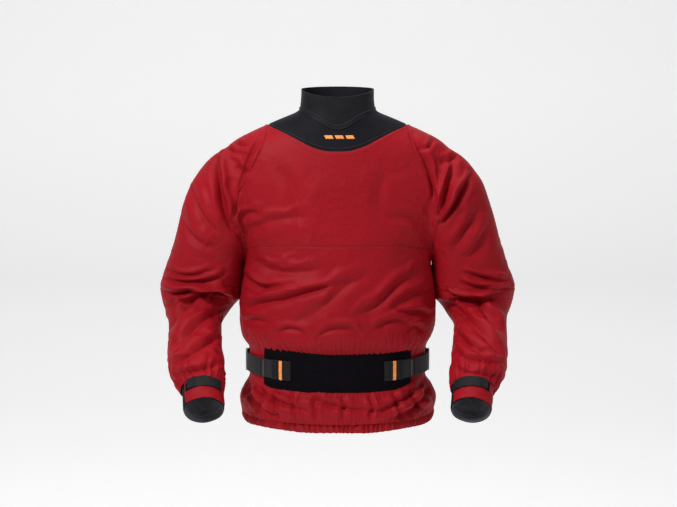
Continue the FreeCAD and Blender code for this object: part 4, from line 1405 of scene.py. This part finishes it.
    def add_ring(self, side, sign):
        """A flat rectangular ring of rounded bar, seen edge on at the side."""
        ring_low, ring_high = low("left_belt_ring"), high("left_belt_ring")
        bar = 0.0018  # half the bar's thickness
        half_y, half_z = (ring_high.y - ring_low.y) / 2 - bar, (ring_high.z - ring_low.z) / 2 - bar
        middle = Vector((sign * (ring_low.x + ring_high.x) / 2, 0, (ring_low.z + ring_high.z) / 2))
        corner = 0.004
        path = []
        for index, (cy, cz) in enumerate(((1, 1), (-1, 1), (-1, -1), (1, -1))):
            for step in range(7):
                angle = math.radians(90 * index + 15 * step)
                y = cy * (half_y - corner) + corner * math.cos(angle)
                path.append((y, cz * (half_z - corner) + corner * math.sin(angle)))
        points, faces, round_count = [], [], 10
        count = len(path)
        for i, (y, z) in enumerate(path):
            before, after = path[i - 1], path[(i + 1) % count]
            out = Vector((0, after[1] - before[1], before[0] - after[0])).normalized()
            for k in range(round_count):
                angle = 2 * math.pi * k / round_count
                along_x = Vector((bar * math.sin(angle), 0, 0))
                points.append(middle + Vector((0, y, z)) + out * (bar * math.cos(angle)) + along_x)
        for i in range(count):
            here, there = i * round_count, (i + 1) % count * round_count
            for k in range(round_count):
                beside = (k + 1) % round_count
                faces.append((here + k, here + beside, there + beside, there + k))
        ring = add_mesh(f"{side}_ring", points, faces, "ring_plastic")
        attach(ring, JACKET)
        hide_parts(f"{side}_belt_ring")


# ---------------------------------------------------------------- cuffs

CUFF_TOP, CUFF_MOUTH = 0.237, 0.299  # down the forearm from the elbow
CUFF_RADIUS = 0.0405
CUFF_STRAP = 0.024  # width of the strap across the cuff


class Cuff:
    """Places on one side's cuff: angle 270 is its front, and along runs down the forearm."""

    def __init__(self, sign):
        self.sign = sign

    def place(self, angle, along, radius):
        """Arrays of points round the forearm's axis."""
        x, y = radius * np.cos(angle), radius * np.sin(angle)
        local = np.stack([x, y, -along * np.ones_like(x)], axis=1)
        turn = np.array(FOREARM.to_matrix())
        world = local @ turn.T + np.array(ELBOW)
        world[:, 0] *= self.sign
        return world.T

    def grid(self, name, finish, shape, columns, rows, sweep, size, depth, bevel=0.0):
        """A sheet round the cuff; shape(u, v, angle) gives how far down it lies and its radius."""
        start, end = (math.radians(a) for a in sweep)
        closed = sweep[1] - sweep[0] >= 360

        def surface(u, v):
            angle = start + (end - start) * u
            along, radius = shape(u, v, angle)
            return self.place(angle, along, radius)

        piece = add_grid(name, finish, surface, columns, rows, closed, size)
        if self.sign < 0:
            change_faces(piece, bmesh.ops.reverse_faces)
        thicken(piece, depth, bevel)
        return piece


class PT_OT_cuffs(bpy.types.Operator):
    """Neoprene cuffs with their lining, overlay, strap and wrist seal"""

    bl_idname = "paddling.cuffs"
    bl_label = "Cuffs"

    def execute(self, context):
        for side, sign in SIDES:
            self.add_cuff(side, Cuff(sign))
        return {"FINISHED"}

    def add_cuff(self, side, cuff):
        """One cuff, from the outside in."""
        long = CUFF_MOUTH - CUFF_TOP

        def wobble(angle, v, seed):
            return 0.0010 * lattice_noise(np.column_stack([np.cos(angle), np.sin(angle), v]), 1.8, seed)

        def outer(u, v, angle):
            lip = -0.0014 * (1 - ease(v, 0.0, 0.09))
            stitch = -0.0007 * np.exp(-((v - 0.16) / 0.02) ** 2)
            radius = CUFF_RADIUS + wobble(angle, v, 5) * (1 - v) + lip + stitch
            return CUFF_MOUTH - long * v, radius

        neoprene = cuff.grid(
            f"{side}_cuff", "band_neoprene", outer, 120, 40, (0, 360), (0.25, long), 0.0016, 0.0005)

        def inner(u, v, angle):
            stitch = -0.0006 * np.exp(-((v - 0.16) / 0.03) ** 2)
            radius = CUFF_RADIUS - 0.0021 + wobble(angle, v, 5) * (1 - v) + stitch
            return CUFF_MOUTH - 0.0010 - long * v, radius

        # The lining's colour is lightened to brighten the shaded inside of the cuff: painted light.
        lining = cuff.grid(f"{side}_cuff_inside", "lining", inner, 120, 30, (0, 360), (0.24, long), 0.0012)

        def overlay(u, v, angle):
            slope = 0.0015 * np.abs(u * 2 - 1) ** 4
            uneven = lattice_noise(np.column_stack([u * 4, v * 2, u * 0]), 2.4, 6)
            crease = 0.0007 * np.sin(v * 9 + u * 5) + 0.0006 * uneven
            sides = np.exp(-(u / 0.02) ** 2) + np.exp(-((1 - u) / 0.02) ** 2)
            edge = -0.0010 * (np.exp(-(v / 0.05) ** 2) + sides)
            along = CUFF_MOUTH - 0.0008 - (long - 0.002) * v - slope * (1 - v)
            return along, CUFF_RADIUS + 0.0014 + crease + edge + 0.003 * v ** 2

        edges = (212, 352.5) if cuff.sign > 0 else (187.5, 330)  # the neoprene shows beside the flap
        flap = cuff.grid(
            f"{side}_cuff_overlay", "shell_cloth", overlay, 90, 34, edges, (0.102, long), 0.0012)

        def strap_at(v):
            return CUFF_MOUTH - 0.027 - CUFF_STRAP * v

        def patch(u, v, angle):
            return strap_at(v), CUFF_RADIUS + 0.0030 + 0.0002 * np.sin(u * 30)

        loops = cuff.grid(
            f"{side}_cuff_loops", "loop_neoprene", patch, 50, 10, (228, 324), (0.072, CUFF_STRAP), 0.0010)

        def strap(u, v, angle):
            tip = ease(u, 0.70, 0.74)
            rib = tip * ease(np.cos(u * 84 / 4.6 * 2 * math.pi), -0.2, 0.6) * 0.0010
            lift = 0.0016 * ease(u, 0.55, 1.0)
            edge = -0.0007 * np.abs(v * 2 - 1) ** 10
            return strap_at(v), CUFF_RADIUS + 0.0052 + rib + lift + edge

        closing = cuff.grid(
            f"{side}_cuff_tab", "strap_tab", strap, 150, 14, (228, 312), (0.065, CUFF_STRAP), WEBBING, 0.0004)

        def anchor(u, v, angle):
            dip = -0.0006 * np.exp(-((u - 0.5) / 0.12) ** 2)
            return strap_at(v), CUFF_RADIUS + 0.0050 + dip - 0.0009 * (1 - ease(u, 0, 0.3))

        root = cuff.grid(
            f"{side}_cuff_tab_root", "strap_tab", anchor, 24, 14, (215.5, 226.3), (0.009, CUFF_STRAP),
            WEBBING, 0.0004)

        def seal(u, v, angle):
            radius = np.interp(v, [0, 0.25, 0.80, 1], [0.0374, 0.0366, 0.0290, 0.0282])
            return CUFF_MOUTH - 0.014 - 0.046 * v, radius + 0.0004 * np.sin(v * 60) * (v > 0.75)

        latex = cuff.grid(
            f"{side}_wrist_latex", "latex", seal, 96, 40, (0, 360), (0.18, 0.054), 0.0011, 0.0003)
        for piece, node in (
            (neoprene, "cuff_neoprene"), (lining, "cuff_lining"), (flap, "cuff_flap"),
            (loops, "cuff_loop_patch"), (root, "cuff_strap_anchor"), (latex, "wrist_seal"),
        ):
            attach(piece, f"{side}_forearm")
            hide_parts(f"{side}_{node}")
        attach(closing, f"{side}_cuff_strap_end")
        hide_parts(f"{side}_cuff_strap")
        declare_sheet(neoprene, 0.25, area_of(neoprene) / 2)
        declare_sheet(lining, 0.23, area_of(lining) / 2)
        declare_sheet(flap, 0.102, area_of(flap) / 2)


# ---------------------------------------------------------------- stage


class PT_OT_stage(bpy.types.Operator):
    """Floor, soft lights and the camera"""

    bl_idname = "paddling.stage"
    bl_label = "Stage"

    def execute(self, context):
        settings = context.scene.pt_stage
        shade = tuple(settings.backdrop)
        plain = Finish("backdrop", Base_Color=shade, Roughness=1.0, Specular_IOR_Level=0.0,
                       Emission_Color=shade, Emission_Strength=0.50)
        floor = HEM_FOOT - 0.9
        profile = [(-6.0, floor), (3.5, floor), (4.6, floor + 0.3), (5.0, floor + 1.2), (5.0, floor + 7.0)]
        points = [(x, y, z) for y, z in profile for x in (-9.0, 9.0)]
        faces = [(2 * i, 2 * i + 1, 2 * i + 3, 2 * i + 2) for i in range(len(profile) - 1)]
        sweep = add_mesh("backdrop", points, faces)
        sweep.data.materials.append(plain.material)
        target = Vector((0.002, 0, -0.300))
        look = Vector((0, math.cos(settings.elevation), -math.sin(settings.elevation)))
        camera = bpy.data.objects.new("camera", bpy.data.cameras.new("camera"))
        camera.data.lens = settings.lens
        camera.data.sensor_width = 36
        camera.location = target - look * settings.distance
        camera.rotation_euler = look.to_track_quat("-Z", "Y").to_euler()
        context.scene.collection.objects.link(camera)
        context.scene.camera = camera
        world = bpy.data.worlds.new("studio")
        world.use_nodes = True
        background = world.node_tree.nodes["Background"]
        background.inputs[0].default_value = (1, 1, 1, 1)
        background.inputs[1].default_value = 0.13
        context.scene.world = world
        for name, place, power, size in (
            ("key_left", (-1.9, -2.1, 2.2), 118, 0.8),
            ("key_right", (2.4, -2.0, 1.2), 20, 1.0),
            ("top", (0.2, 0.1, 2.4), 40, 1.2),
        ):
            light = bpy.data.lights.new(name, "AREA")
            light.energy = power
            light.size = size
            lamp = bpy.data.objects.new(name, light)
            lamp.location = place
            lamp.rotation_euler = (target - Vector(place)).to_track_quat("-Z", "Y").to_euler()
            context.scene.collection.objects.link(lamp)
        context.scene.view_settings.view_transform = "Standard"
        return {"FINISHED"}


class PT_PT_panel(bpy.types.Panel):
    """Lists the builders and their settings"""

    bl_label = "Paddling Top"
    bl_idname = "PT_PT_panel"
    bl_space_type = "VIEW_3D"
    bl_region_type = "UI"
    bl_category = "Paddling Top"

    def draw(self, context):
        for builder in BUILDERS:
            self.layout.operator(builder.bl_idname)
        for group in (context.scene.pt_garment, context.scene.pt_stage):
            for key in group.bl_rna.properties.keys():
                if key not in {"rna_type", "name"}:
                    self.layout.prop(group, key)


BUILDERS = (PT_OT_cloth, PT_OT_seams, PT_OT_neck, PT_OT_hem, PT_OT_belt, PT_OT_cuffs, PT_OT_stage)
CLASSES = (PT_GarmentSettings, PT_StageSettings, *BUILDERS, PT_PT_panel)


def register():
    """Adds the classes and their settings."""
    for item in CLASSES:
        bpy.utils.register_class(item)
    bpy.types.Scene.pt_garment = bpy.props.PointerProperty(type=PT_GarmentSettings)
    bpy.types.Scene.pt_stage = bpy.props.PointerProperty(type=PT_StageSettings)


def unregister():
    """Removes the classes and their settings."""
    del bpy.types.Scene.pt_garment
    del bpy.types.Scene.pt_stage
    for item in reversed(CLASSES):
        bpy.utils.unregister_class(item)


def main():
    """Builds everything."""
    register()
    FINISHES.update(make_finishes(bpy.context.scene.pt_garment))
    for builder in BUILDERS:
        group, name = builder.bl_idname.split(".")
        getattr(getattr(bpy.ops, group), name)()


if __name__ == "__main__":
    main()
